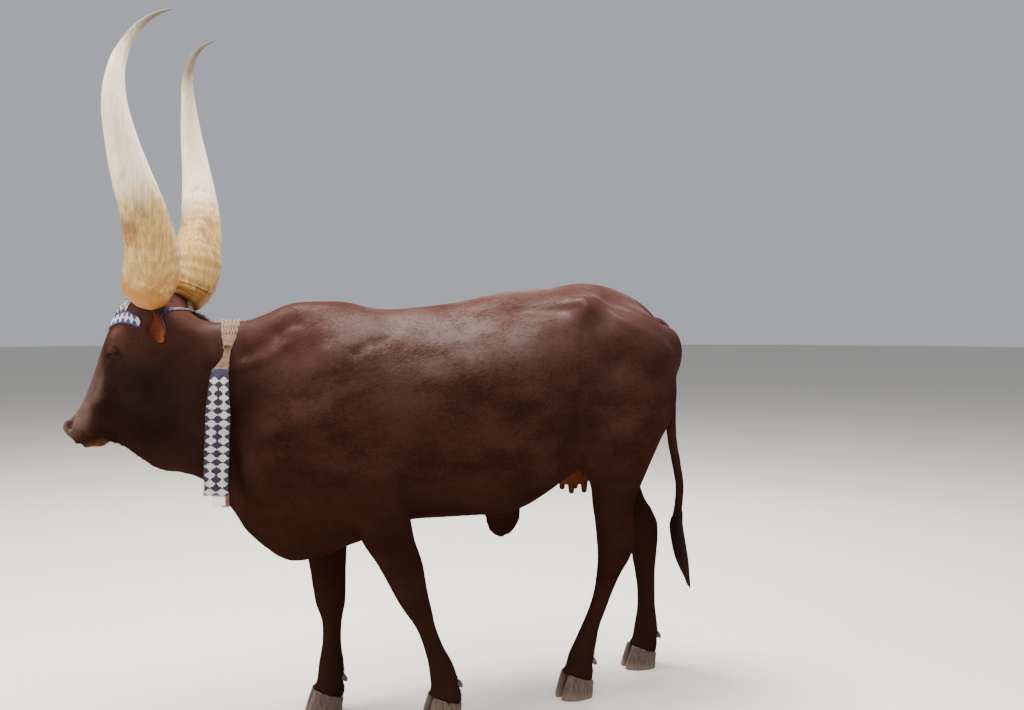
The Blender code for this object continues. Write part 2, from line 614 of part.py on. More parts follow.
def part_off(whole, name, low, high, turn=None):
    """Cuts a boxed region off the whole as a node, leaving a thin gap."""
    inner = block("inner", low, high, turn)
    outer = block("outer", Vector(low) - Vector((GAP,) * 3), Vector(high) + Vector((GAP,) * 3), turn)
    piece = copy_of(whole, name)
    cut(piece, inner, "INTERSECT")
    keep_largest(piece)
    cut(whole, outer, "DIFFERENCE")
    keep_largest(whole)
    bpy.data.objects.remove(inner, do_unlink=True)
    bpy.data.objects.remove(outer, do_unlink=True)
    return piece


def swollen(item, amount):
    """A copy of an object, its faces moved outward."""
    twin = bpy.data.objects.new("swollen", item.data.copy())
    shapers.objects.link(twin)
    write_points(twin, read_points(twin) + read_normals(twin) * amount)
    twin.hide_render = True
    twin.display_type = "WIRE"
    return twin


# Horn: height, ahead, left offset, radius
HORN = [
    (1.356, 0.000, 0.128, 0.044),
    (1.362, -0.003, 0.133, 0.060),
    (1.374, -0.006, 0.139, 0.071),
    (1.396, -0.009, 0.147, 0.079),
    (1.438, -0.023, 0.157, 0.081),
    (1.500, -0.029, 0.172, 0.0780),
    (1.600, -0.025, 0.216, 0.0660),
    (1.690, -0.008, 0.248, 0.0570),
    (1.790, 0.011, 0.270, 0.0458),
    (1.900, 0.028, 0.276, 0.0352),
    (2.000, 0.029, 0.256, 0.0245),
    (2.070, 0.018, 0.221, 0.0180),
    (2.128, -0.008, 0.194, 0.0125),
    (2.166, -0.048, 0.174, 0.0073),
    (2.184, -0.092, 0.164, 0.0030),
]

# Ear: ahead, height, left offset, half width, cup depth
EAR = [
    (0.034, 1.305, 0.076, 0.022, 0.018),
    (0.024, 1.301, 0.102, 0.029, 0.021),
    (0.002, 1.291, 0.128, 0.036, 0.024),
    (-0.026, 1.276, 0.156, 0.040, 0.022),
    (-0.053, 1.257, 0.182, 0.034, 0.016),
    (-0.073, 1.242, 0.202, 0.018, 0.009),
    (-0.081, 1.235, 0.212, 0.006, 0.003),
]

# Tail: place ahead, height, radius
TAIL = [
    (-1.205, 1.276, 0.034),
    (-1.250, 1.270, 0.033),
    (-1.284, 1.235, 0.029),
    (-1.301, 1.170, 0.025),
    (-1.306, 1.060, 0.0215),
    (-1.308, 0.940, 0.0190),
    (-1.314, 0.857, 0.0175),
    (-1.332, 0.770, 0.0165),
    (-1.346, 0.690, 0.0155),
    (-1.342, 0.620, 0.0150),
    (-1.337, 0.580, 0.0140),
]

# Core of the switch: place ahead, height, radius
SWITCH_CORE = [
    (-1.337, 0.580, 0.0150),
    (-1.3326, 0.545, 0.0155),
    (-1.343, 0.490, 0.0140),
    (-1.355, 0.430, 0.0090),
    (-1.363, 0.395, 0.0030),
]

# Middle line of the switch's hair: place ahead, height
SWITCH_LINE = [
    (-1.335, 0.565),
    (-1.334, 0.540),
    (-1.343, 0.490),
    (-1.355, 0.430),
    (-1.370, 0.375),
    (-1.385, 0.325),
    (-1.393, 0.292),
]

# Locks of the switch: angle round the tail, start and end on the middle line, swell, sideways bend
SWITCH_LOCKS = [
    (0, 0.06, 0.86, 0.014, 0.006),
    (42, 0.22, 1.00, 0.012, -0.004),
    (85, 0.04, 0.90, 0.013, 0.004),
    (128, 0.26, 0.95, 0.013, -0.006),
    (168, 0.08, 0.84, 0.015, 0.005),
    (206, 0.20, 1.00, 0.012, 0.004),
    (250, 0.05, 0.92, 0.013, -0.005),
    (290, 0.24, 0.97, 0.012, 0.005),
    (325, 0.10, 0.82, 0.014, -0.004),
]

# Feet: place ahead, place left, coronet height, toe turn in degrees
FEET = {
    "fore_left": (-0.410, 0.100, 0.070, 4),
    "fore_right": (-0.071, -0.100, 0.070, -4),
    "hind_left": (-0.899, 0.071, 0.070, 5),
    "hind_right": (-1.253, -0.110, 0.070, -5),
}
# Dewclaws: place ahead, place left, height
FETLOCKS = {
    "fore_left": (-0.4525, 0.102, 0.118),
    "fore_right": (-0.1225, -0.103, 0.114),
    "hind_left": (-0.950, 0.077, 0.120),
    "hind_right": (-1.3125, -0.110, 0.115),
}
SOLE_SLOPE = math.tan(math.radians(19.0))


def path_rings(points, radii, widths, side, count):
    """Rings square to a path, from half depths and half widths along it."""
    points = np.array(points)
    rings = []
    for i, centre in enumerate(points):
        ahead = points[min(i + 1, len(points) - 1)] - points[max(i - 1, 0)]
        ahead = ahead / np.linalg.norm(ahead)
        across = np.array(side) - np.dot(side, ahead) * ahead
        across = across / np.linalg.norm(across)
        rings.append(ring(centre, across, np.cross(ahead, across), widths[i], radii[i], radii[i], 2.0, count=count))
    return rings


def horn(name, k):
    rows = smooth_rows(HORN, 1)
    points = [beside_head(a, z, s * k) for z, a, s, r in rows]
    return skin_rings(name, path_rings(points, rows[:, 3], rows[:, 3], heading, 16))


def ear(name, k):
    """A cupped leaf: an outer arc and a shallower inner arc round each station."""
    rows = smooth_rows(EAR, 1)
    centres = np.array([beside_head(a, z, s * k) for a, z, s, h, d in rows])
    rings = []
    for i, (a, z, s, half, deep) in enumerate(rows):
        along = centres[min(i + 1, len(rows) - 1)] - centres[max(i - 1, 0)]
        along = along / np.linalg.norm(along)
        wide = upward - np.dot(upward, along) * along
        wide = wide / np.linalg.norm(wide)
        back = np.cross(wide, along) * k
        outline = []
        for j in range(9):
            turn = math.pi * j / 8
            outline.append(centres[i] + wide * half * math.cos(turn) + back * deep * math.sin(turn))
        for j in range(1, 8):
            turn = math.pi * (1 - j / 8)
            hollow = deep - min(0.006, 0.75 * deep)
            outline.append(centres[i] + wide * half * 0.92 * math.cos(turn)
                           + back * (hollow * math.sin(turn) - 0.001))
        rings.append(outline)
    return skin_rings(name, rings)


def tail_piece():
    rows = smooth_rows(TAIL, 1)
    points = [(x, 0, z) for x, z, r in rows]
    return skin_rings("tail", path_rings(points, rows[:, 2], rows[:, 2], (0, 1, 0), 12))


def switch_piece():
    """Flat tapered locks that leave a thin core at the tail's end, swell, bend apart and close to fine tips."""
    rows = np.array(SWITCH_CORE)
    points = [(x, 0, z - GAP) for x, z, r in rows]
    core = skin_rings("tail_switch", path_rings(points, rows[:, 2], rows[:, 2], (0, 1, 0), 12))
    line = np.array(SWITCH_LINE)
    level = np.linspace(0, 1, len(line))
    locks = bpy.data.collections.new("switch locks")
    shapers.children.link(locks)
    for angle, start, end, swell, bend in SWITCH_LOCKS:
        way = np.array([math.cos(math.radians(angle)), math.sin(math.radians(angle)), 0.0])
        t = np.linspace(0, 1, 6)
        at = start + (end - start) * t
        middle = np.stack([np.interp(at, level, line[:, 0]), 0 * t, np.interp(at, level, line[:, 1])], axis=1)
        off = (0.007 + swell * np.sin(math.pi * t ** 0.8)) * (1 - 0.75 * t ** 3)
        path = middle + way * off[:, None] + np.cross(way, upward) * (bend * t ** 2)[:, None]
        width = 0.0105 * (0.55 + 0.45 * np.sin(math.pi * t)) * (1 - t ** 2.5) + 0.0008
        skin_rings("lock", path_rings(path, width * 0.45, width, np.cross(way, upward), 5), locks)
    join = core.modifiers.new("join locks", "BOOLEAN")
    join.operand_type = "COLLECTION"
    join.collection = locks
    join.operation = "UNION"
    join.solver = "EXACT"
    settle(core)
    for lock in list(locks.objects):
        bpy.data.objects.remove(lock, do_unlink=True)
    bpy.data.collections.remove(locks)
    keep_largest(core)
    return core


def udder_piece():
    base = ball("udder", (-0.912, 0, 0.774), (0.098, 0.084, 0.062), group=cow, parts=14)
    ends = ((-0.890, 0.036, 0.694), (-0.890, -0.036, 0.697), (-0.940, 0.034, 0.694), (-0.940, -0.034, 0.697))
    for x, y, low in ends:
        rows = [((x, y * 0.95, 0.765), 0.014), ((x, y, 0.735), 0.0135), ((x, y * 1.03, low + 0.018), 0.0105),
                ((x, y * 1.04, low), 0.0065)]
        teat = skin_rings("teat", path_rings([r[0] for r in rows], [r[1] for r in rows],
                                             [r[1] for r in rows], (0, 1, 0), 8), shapers)
        cut(base, teat, "UNION")
        bpy.data.objects.remove(teat, do_unlink=True)
    return base


def claw(name, foot, k):
    """One claw: a half-round ring under the coronet, swelling forward to a flat sole."""
    x, y, rim, turn = FEET[foot]
    yaw = math.radians(turn)
    rings = []
    for drop, lean, long_half, wide, inset in ((0.0, 0.000, 0.0475, 0.0425, 0.0), (0.35, 0.007, 0.051, 0.0455, 0.0),
                                               (0.92, 0.017, 0.057, 0.0485, 0.0), (1.0, 0.017, 0.054, 0.0460, 0.001)):
        outline = []
        for j in range(16):
            a = 2 * math.pi * j / 16
            ahead = math.cos(a) * long_half + lean
            out = CLAW_SPLIT / 2 + inset + wide / 2 + wide / 2 * math.copysign(abs(math.sin(a)) ** 0.75, math.sin(a))
            out = out * (1 - 0.30 * max(math.cos(a), 0) ** 2 * drop) + 0.0012 * drop
            px = x + ahead * math.cos(yaw) - out * k * math.sin(yaw)
            py = y + ahead * math.sin(yaw) + out * k * math.cos(yaw)
            top = rim + SOLE_SLOPE * (px - x) - 1.1 * GAP
            outline.append((px, py, top * (1 - drop)))
        rings.append(outline)
    return skin_rings(name, rings)


def dewclaw(name, foot, k):
    x, y, z = FETLOCKS[foot]
    return ball(name, (x + 0.001, y + 0.021 * k, z), (0.013, 0.0105, 0.019), pitch=-28, group=cow, parts=9)


def trim(item, others, amount=GAP):
    """Cuts an object back to a thin gap from its neighbours and keeps its main part."""
    for other in others:
        tool = swollen(other, amount)
        cut(item, tool, "DIFFERENCE")
        bpy.data.objects.remove(tool, do_unlink=True)
    keep_largest(item)


def surface_tree(items):
    points, faces = [], []
    for item in items:
        start = len(points)
        points += [v.co.copy() for v in item.data.vertices]
        faces += [tuple(start + i for i in p.vertices) for p in item.data.polygons]
    return BVHTree.FromPolygons(points, faces)


def touch(tree, origin, way):
    """How far out from an origin the skin lies in a direction."""
    hit = tree.ray_cast(Vector(origin) + Vector(way) * 0.7, -Vector(way), 0.7)
    return 0.0 if hit[0] is None else (hit[0] - Vector(origin)).dot(Vector(way))


def wrap(name, tree, centre, first, second, along, stations, deep, thick, closed=False):
    """A strap round a form: station angle, half width and slide along, from deep under to thick over the skin."""
    rings = []
    for angle, half, slide in stations:
        way = math.cos(angle) * np.array(first) + math.sin(angle) * np.array(second)
        inner, outer = [], []
        for part in (-1, -0.33, 0.33, 1):
            base = np.array(centre) + np.array(along) * (slide + half * part)
            skin = touch(tree, base, way)
            inner.append(base + way * (skin - deep))
            outer.append(base + way * (skin + thick * (1.0 if abs(part) < 1 else 0.7)))
        rings.append(inner + outer[::-1])
    return skin_rings(name, rings, closed=closed)


def headband(tree):
    centre = beside_head(0.045, 1.292, 0.0)
    angles = [math.radians(a) for a in np.linspace(-92, 92, 19)]
    stations = [(a, 0.0175, 0.022 * math.sin(1.5 * a) ** 2 - 0.014) for a in angles]
    return wrap("headband", tree, centre, heading, leftward, upward, stations, 0.004, 0.0045)


def forehead_plaque(tree):
    centre = beside_head(0.045, 1.292, 0.0)
    angles = [math.radians(a) for a in np.linspace(-60, 60, 13)]
    stations = [(a, 0.0255, 0.022 * math.sin(1.5 * a) ** 2 + 0.0315) for a in angles]
    return wrap("forehead_plaque", tree, centre, heading, leftward, upward, stations, 0.004, 0.005)


def nape_cord(tree):
    centre = beside_head(0.037, 1.230, 0.0)
    lean = math.radians(40)
    rise = math.cos(lean) * upward - math.sin(lean) * heading
    stations = [(math.radians(a), 0.006, 0.0) for a in np.linspace(34, 146, 14)]
    return wrap("headband_cord", tree, centre, leftward, rise, np.cross(leftward, rise), stations, 0.004, 0.005)


def taut(angles, radii):
    """The loop a taut strap makes round a form: the hull of its radii about the centre."""
    gap = angles[:, None] - angles[None, :]
    facing = np.cos(gap)
    support = np.max(radii[None, :] * facing, axis=1)
    lengths = np.where(facing > 0.05, support[None, :] / np.maximum(facing, 0.05), 9.0)
    return lengths.min(axis=1)


def neck_tie(tree):
    """A gathered fibre loop round the neck, broad over the crest, with a bound knot on the near side."""
    way = np.array([math.cos(math.radians(-12)), math.sin(math.radians(-12)), 0])
    left = np.array([-way[1], way[0], 0])
    centre = np.array([0.236, -0.022, 1.030])
    angles = np.radians(np.linspace(0, 360, 44, endpoint=False))
    off = np.abs(np.degrees(angles) - 95)
    flare = np.exp(-((np.degrees(angles) - 41) / 9) ** 2)
    half = 0.009 + 0.022 * np.clip(1 - (off / 30) ** 2, 0, 1) + 0.012 * flare + 0.003 * np.clip((off - 60) / 20, 0, 1)
    slide = 0.022 * np.minimum(1.0, off / 70) ** 2
    ways = [math.cos(a) * left + math.sin(a) * upward for a in angles]
    skin = [max(touch(tree, centre + way * (slide[i] + half[i] * part), ways[i]) for part in (-1, 0, 1))
            for i in range(len(angles))]
    radii = taut(angles, np.array(skin))
    rings = []
    for i in range(len(angles)):
        base = centre + way * slide[i]
        inner = [base + way * half[i] * part + ways[i] * (radii[i] - 0.003) for part in (-1, 1)]
        outer = [base + way * half[i] * part + ways[i] * (radii[i] + thick)
                 for part, thick in ((1, 0.002), (0.4, 0.005), (-0.4, 0.005), (-1, 0.002))]
        rings.append(inner + outer)
    strap = skin_rings("neck_tie", rings, closed=True)
    aim = math.radians(66)
    side = math.cos(aim) * left + math.sin(aim) * upward
    base = centre + way * 0.008
    knot = ball("knot", base + side * np.interp(aim, angles, radii), (0.015, 0.013, 0.019), parts=10)
    cut(strap, knot, "UNION")
    bpy.data.objects.remove(knot, do_unlink=True)
    return strap


def panel(tree, levels, far):
    """Corners of a flat strip hanging plumb from the widest place of the neck above it."""
    wide = np.array([0.905, -0.425, 0.0])
    out = np.array([0.425, 0.905, 0.0])
    rings = []
    for z, half, thick, shift in levels:
        part = min(max((STRIP_TOP - z) / STRIP_LENGTH, 0.0), 1.0)
        base = np.array([0.241 + 0.013 * part, 0.0, z]) - wide * shift
        for across in (-1, -0.5, 0, 0.5, 1):
            far = max(far, touch(tree, base + wide * half * across, out) + 0.0085)
        rings.append([base + out * far - wide * half, base + out * far + wide * half,
                      base + out * (far + thick) + wide * half, base + out * (far + thick) - wide * half])
    return rings, far


def paint(names, colour, rough):
    shade = bpy.data.materials.new(names[0] + " colour")
    shade.use_nodes = True
    tone = shade.node_tree.nodes["Principled BSDF"]
    tone.inputs["Base Color"].default_value = (*colour, 1)
    tone.inputs["Roughness"].default_value = rough
    shade.diffuse_color = (*colour, 1)
    for item in cow.objects:
        if any(item.name == n or (n.endswith("*") and item.name.startswith(n[:-1])) for n in names):
            item.data.materials.clear()
            item.data.materials.append(shade)


torso = build_body()
thin_out(torso, BODY_FACES)

legs = {
    "fore_left": ((-0.50, 0.084, 0.30), (-0.083, 0.45, 0.655), 0.385),
    "fore_right": ((-0.22, -0.45, 0.30), (0.036, -0.080, 0.635), 0.375),
    "hind_left": ((-1.20, 0.040, 0.40), (-0.86, 0.45, 0.74), 0.465),
    "hind_right": ((-1.45, -0.45, 0.40), (-0.90, -0.040, 0.74), 0.465),
}
for foot, (low, high, knee) in legs.items():
    x, y, rim, turn = FEET[foot]
    near = 0.004 if y > 0 else -0.45
    lower_leg = part_off(torso, "leg_" + foot + "_lower", (x - 0.25, near, -0.2), (x + 0.25, near + 0.446, knee))
    part_off(torso, "leg_" + foot + "_upper", low, high)
    floor_cut = Matrix.Translation((x, y, rim)) @ Matrix.Rotation(-math.atan(SOLE_SLOPE), 4, "Y")
    sole = block("sole cut", (-0.3, -0.2, -0.3), (0.3, 0.2, 0.0), floor_cut)
    cut(lower_leg, sole, "DIFFERENCE")
    keep_largest(lower_leg)
    bpy.data.objects.remove(sole, do_unlink=True)
    for k, place in ((1, "left"), (-1, "right")):
        claw("claw_" + foot + "_" + place, foot, k)
        trim(dewclaw("dewclaw_" + foot + "_" + place, foot, k), [lower_leg], 0.0006)

head_side = Matrix.Translation((HEAD_FOOT[0], HEAD_FOOT[1], 1.1)) @ Matrix.Rotation(HEAD_TURN, 4, "Z")
head_side = head_side @ Matrix.Rotation(math.radians(18), 4, "Y")
head = part_off(torso, "head", (-0.035, -0.5, -0.6), (0.8, 0.5, 0.6), head_side)
neck_side = Matrix.Translation((0.165, 0, 1.0)) @ Matrix.Rotation(math.radians(24), 4, "Y")
neck = part_off(torso, "neck", (0.0, -0.6, -0.9), (0.8, 0.6, 0.9), neck_side)

for k, place in ((1, "left"), (-1, "right")):
    along, out, side = EYE_PLACE
    socket = ball("socket", on_face(along, out, side * k), (EYE_RADIUS + GAP,) * 3, parts=16)
    slit_place = on_face(along, out, side * k + 0.024 * k) - 0.007 * upward
    slit = ball("lid slit", slit_place, (0.0215, 0.014, 0.0075), yaw=-26, pitch=8)
    for tool in (socket, slit):
        cut(head, tool, "DIFFERENCE")
        bpy.data.objects.remove(tool, do_unlink=True)
    ball("eye_" + place, on_face(along, out, side * k), (EYE_RADIUS,) * 3, group=cow, parts=16)
keep_largest(head)

skin_tree = surface_tree([head, neck, torso])
horns = [horn("horn_left", 1), horn("horn_right", -1)]
ears = [ear("ear_left", 1), ear("ear_right", -1)]
for item in horns + ears:
    trim(item, [head, neck])
for item in ears:
    trim(item, horns)

tail = tail_piece()
trim(tail, [torso])
switch_piece()
udder = udder_piece()
trim(udder, [torso])

for item in (headband(skin_tree), forehead_plaque(skin_tree), nape_cord(skin_tree)):
    trim(item, [head, neck] + horns + ears)
tie = neck_tie(skin_tree)
strip_low = STRIP_TOP - STRIP_LENGTH
strip_levels = [(STRIP_TOP - STRIP_LENGTH * part, 0.0225 + 0.0135 * min(1.0, part / 0.34) ** 0.8, 0.004, 0.0)
                for part in (0.0, 0.06, 0.14, 0.24, 0.34, 0.5, 0.67, 0.83, 1.0)]
strip, strip_far = panel(skin_tree, strip_levels, 0.0)
hem, strip_far = panel(skin_tree, [(strip_low - 2 * GAP, 0.020, 0.003, 0.008),
                                   (strip_low - 0.030, 0.020, 0.003, 0.008)], strip_far)
hangings = [skin_rings("neck_panel", strip), skin_rings("panel_hem", hem)]
trim(tie, [neck, torso] + hangings)

paint(["head", "neck", "torso", "tail", "leg_*"], (0.075, 0.026, 0.018), 0.45)
paint(["ear_*", "udder"], (0.16, 0.05, 0.03), 0.55)
paint(["tail_switch"], (0.035, 0.018, 0.014), 0.6)
paint(["horn_*"], (0.74, 0.60, 0.40), 0.45)
paint(["eye_*"], (0.012, 0.008, 0.007), 0.08)
paint(["claw_*", "dewclaw_*"], (0.13, 0.085, 0.065), 0.55)
paint(["headband", "headband_cord"], (0.16, 0.15, 0.42), 0.4)
paint(["forehead_plaque"], (0.05, 0.05, 0.07), 0.4)
paint(["neck_tie"], (0.42, 0.28, 0.18), 0.8)
paint(["neck_panel"], (0.30, 0.29, 0.40), 0.45)
paint(["panel_hem"], (0.80, 0.78, 0.74), 0.8)

corners = np.vstack([read_points(item) for item in cow.objects])
middle = (corners.min(axis=0) + corners.max(axis=0)) / 2
shift = np.array([-middle[0], -middle[1], -corners[:, 2].min()])
for item in cow.objects:
    write_points(item, read_points(item) + shift)
    item.data.shade_smooth()
    item.data.set_sharp_from_angle(angle=math.radians(48))
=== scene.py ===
"""The looks of a long-horned cow that stands still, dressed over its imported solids.

One skin is lofted, fused, softened and pressed into shape. Ears, horns, eyes, claws, tail hair
and the beaded ornaments are laid on it. Places are in the animal's own frame: X to the head end,
Y to its left, Z up, withers at x = 0, floor at z = 0. shift moves them to the part's frame.
"""
import bpy
import bmesh
import math
import numpy as np
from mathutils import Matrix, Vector
from mathutils.bvhtree import BVHTree


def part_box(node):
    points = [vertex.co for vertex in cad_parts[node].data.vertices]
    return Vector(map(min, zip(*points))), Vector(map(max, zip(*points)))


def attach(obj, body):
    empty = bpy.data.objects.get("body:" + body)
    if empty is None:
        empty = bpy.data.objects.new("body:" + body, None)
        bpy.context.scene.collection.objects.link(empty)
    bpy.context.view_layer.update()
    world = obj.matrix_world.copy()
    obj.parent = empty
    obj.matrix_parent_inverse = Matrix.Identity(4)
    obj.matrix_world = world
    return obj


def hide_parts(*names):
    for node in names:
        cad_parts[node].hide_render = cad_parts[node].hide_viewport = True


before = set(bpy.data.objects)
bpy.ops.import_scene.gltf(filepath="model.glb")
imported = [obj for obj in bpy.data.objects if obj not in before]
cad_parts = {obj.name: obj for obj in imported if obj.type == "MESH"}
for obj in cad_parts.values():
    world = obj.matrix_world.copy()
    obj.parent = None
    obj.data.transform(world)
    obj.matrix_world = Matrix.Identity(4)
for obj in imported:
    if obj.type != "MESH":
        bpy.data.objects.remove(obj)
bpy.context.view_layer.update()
chance = np.random.default_rng(11)

SKIN_VOXEL = 0.0088
COAT_DEPTH = 0.0012
HEAD_TURN = math.radians(-26.0)
HEAD_FOOT = (0.42, -0.09)
FACE_SLOPE = math.radians(51.5)
POLL_AHEAD = 0.02
POLL_HEIGHT = 1.354
EYE_RADIUS = 0.0225
EYE_PLACE = (0.189, -0.018, 0.087)
SLIT_SLOPE = math.radians(10)
LID_THICKNESS = 0.0036
LID_REACH = 0.95
LID_LINE = -0.14
LID_DROOP = 0.04
CLAW_SPLIT = 0.008
SOLE_SLOPE = math.tan(math.radians(19.0))
BARE_RIM = 0.085
HORN_SIDES = 64
EAR_SIDES = 48
CLAW_SIDES = 40
LOCKS = 64
LOCK_SIDES = 10
KNOT_DEGREES = 66
KNOT_TURN = math.radians(KNOT_DEGREES)
LOOP_STEP = 3
STRIP_TOP = 1.148
STRIP_LENGTH = 0.376
PANEL_WIDE = np.array([0.905, -0.425, 0.0])
PANEL_OUT = np.array([0.425, 0.905, 0.0])
BEAD = 0.0031
FLOOR_SIDES = 96

heading = np.array([math.cos(HEAD_TURN), math.sin(HEAD_TURN), 0.0])
leftward = np.array([-math.sin(HEAD_TURN), math.cos(HEAD_TURN), 0.0])
upward = np.array([0.0, 0.0, 1.0])
SIDES = {1: "left", -1: "right"}
sideways = np.array([0.0, 1.0, 0.0])
forward = np.array([1.0, 0.0, 0.0])
face_down = math.cos(FACE_SLOPE) * heading - math.sin(FACE_SLOPE) * upward
face_out = math.sin(FACE_SLOPE) * heading + math.cos(FACE_SLOPE) * upward
foot_of_head = np.array([HEAD_FOOT[0], HEAD_FOOT[1], 0.0])
poll = foot_of_head + POLL_AHEAD * heading + POLL_HEIGHT * upward


def on_face(along, out, side):
    """A point of the head from its distance down the face, out of it and to the left."""
    return poll + along * face_down + out * face_out + side * leftward


def beside_head(ahead, height, side):
    """A point from its distance ahead of the head's foot, its height and its left offset."""
    return foot_of_head + ahead * heading + side * leftward + height * upward


eye_low, eye_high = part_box("eye_left")
shift = (np.array(eye_low) + np.array(eye_high)) / 2 - on_face(*EYE_PLACE)


# Trunk: station, height of the widest level, top, underside, half width and box, thin top, thin low
TRUNK = [
    (0.245, 0.92, 1.10, 0.74, 0.085, 2.0, 0.3, 0.3),
    (0.200, 0.91, 1.235, 0.64, 0.150, 2.1, 0.45, 0.4),
    (0.100, 0.92, 1.342, 0.57, 0.198, 2.2, 0.58, 0.5),
    (0.000, 0.94, 1.361, 0.555, 0.218, 2.2, 0.58, 0.5),
    (-0.120, 0.96, 1.359, 0.573, 0.237, 2.3, 0.55, 0.4),
    (-0.200, 0.965, 1.336, 0.600, 0.251, 2.3, 0.49, 0.35),
    (-0.292, 0.97, 1.335, 0.640, 0.266, 2.3, 0.47, 0.3),
    (-0.480, 0.97, 1.356, 0.642, 0.292, 2.3, 0.45, 0.2),
    (-0.660, 0.98, 1.396, 0.645, 0.290, 2.3, 0.38, 0.2),
    (-0.780, 1.02, 1.405, 0.698, 0.262, 2.5, 0.26, 0.2),
    (-0.860, 1.10, 1.412, 0.748, 0.238, 2.7, 0.20, 0.2),
    (-0.940, 1.12, 1.426, 0.788, 0.226, 2.7, 0.24, 0.2),
    (-1.050, 1.11, 1.413, 0.850, 0.204, 2.5, 0.34, 0.1),
    (-1.160, 1.10, 1.374, 0.900, 0.172, 2.4, 0.38, 0.1),
    (-1.235, 1.12, 1.312, 0.980, 0.115, 2.2, 0.30, 0.1),
]

# Neck: place ahead, place left, widest level, top, underside, half width, turn in degrees
NECK = [
    (0.020, 0.000, 1.00, 1.345, 0.64, 0.185, 0),
    (0.120, 0.000, 1.02, 1.328, 0.70, 0.158, -2),
    (0.200, -0.010, 1.06, 1.298, 0.76, 0.132, -8),
    (0.270, -0.028, 1.09, 1.297, 0.83, 0.112, -14),
    (0.345, -0.055, 1.12, 1.304, 0.90, 0.097, -20),
    (0.420, -0.090, 1.13, 1.308, 0.94, 0.088, -25),
    (0.480, -0.119, 1.13, 1.312, 0.97, 0.080, -26),
]

# Dewlap and brisket: place ahead, place left, top, lower edge, half width
DEWLAP = [
    (0.588, -0.172, 1.04, 0.918, 0.044),
    (0.545, -0.151, 1.04, 0.898, 0.046),
    (0.500, -0.129, 1.04, 0.862, 0.038),
    (0.450, -0.105, 1.04, 0.822, 0.030),
    (0.380, -0.070, 1.02, 0.808, 0.028),
    (0.320, -0.045, 0.98, 0.786, 0.034),
    (0.254, -0.020, 0.95, 0.722, 0.052),
    (0.189, -0.008, 0.90, 0.628, 0.070),
    (0.110, 0.000, 0.85, 0.556, 0.078),
    (0.050, 0.000, 0.80, 0.532, 0.076),
    (-0.030, 0.000, 0.80, 0.540, 0.070),
    (-0.107, 0.000, 0.80, 0.563, 0.066),
    (-0.180, 0.000, 0.80, 0.600, 0.060),
]

# Head: distance down the face, top, widest level, underside, half width, box, thin top, thin low
HEAD = [
    (-0.022, -0.105, -0.13, -0.180, 0.068, 2.1, 0.1, 0.2),
    (-0.009, -0.022, -0.09, -0.215, 0.092, 2.2, 0.1, 0.3),
    (0.030, 0.056, -0.06, -0.245, 0.106, 2.3, 0.15, 0.3),
    (0.090, 0.080, -0.05, -0.262, 0.107, 2.3, 0.18, 0.36),
    (0.150, 0.070, -0.05, -0.268, 0.106, 2.3, 0.18, 0.38),
    (0.205, 0.055, -0.05, -0.262, 0.103, 2.3, 0.22, 0.40),
    (0.250, 0.043, -0.06, -0.247, 0.092, 2.3, 0.32, 0.40),
    (0.300, 0.028, -0.07, -0.222, 0.079, 2.3, 0.38, 0.38),
    (0.360, 0.010, -0.07, -0.190, 0.068, 2.3, 0.36, 0.36),
    (0.415, -0.003, -0.07, -0.155, 0.064, 2.3, 0.30, 0.32),
    (0.455, -0.007, -0.065, -0.130, 0.067, 2.5, 0.20, 0.30),
    (0.484, -0.015, -0.060, -0.117, 0.063, 2.6, 0.15, 0.30),
    (0.500, -0.030, -0.060, -0.102, 0.048, 2.5, 0.1, 0.2),
]

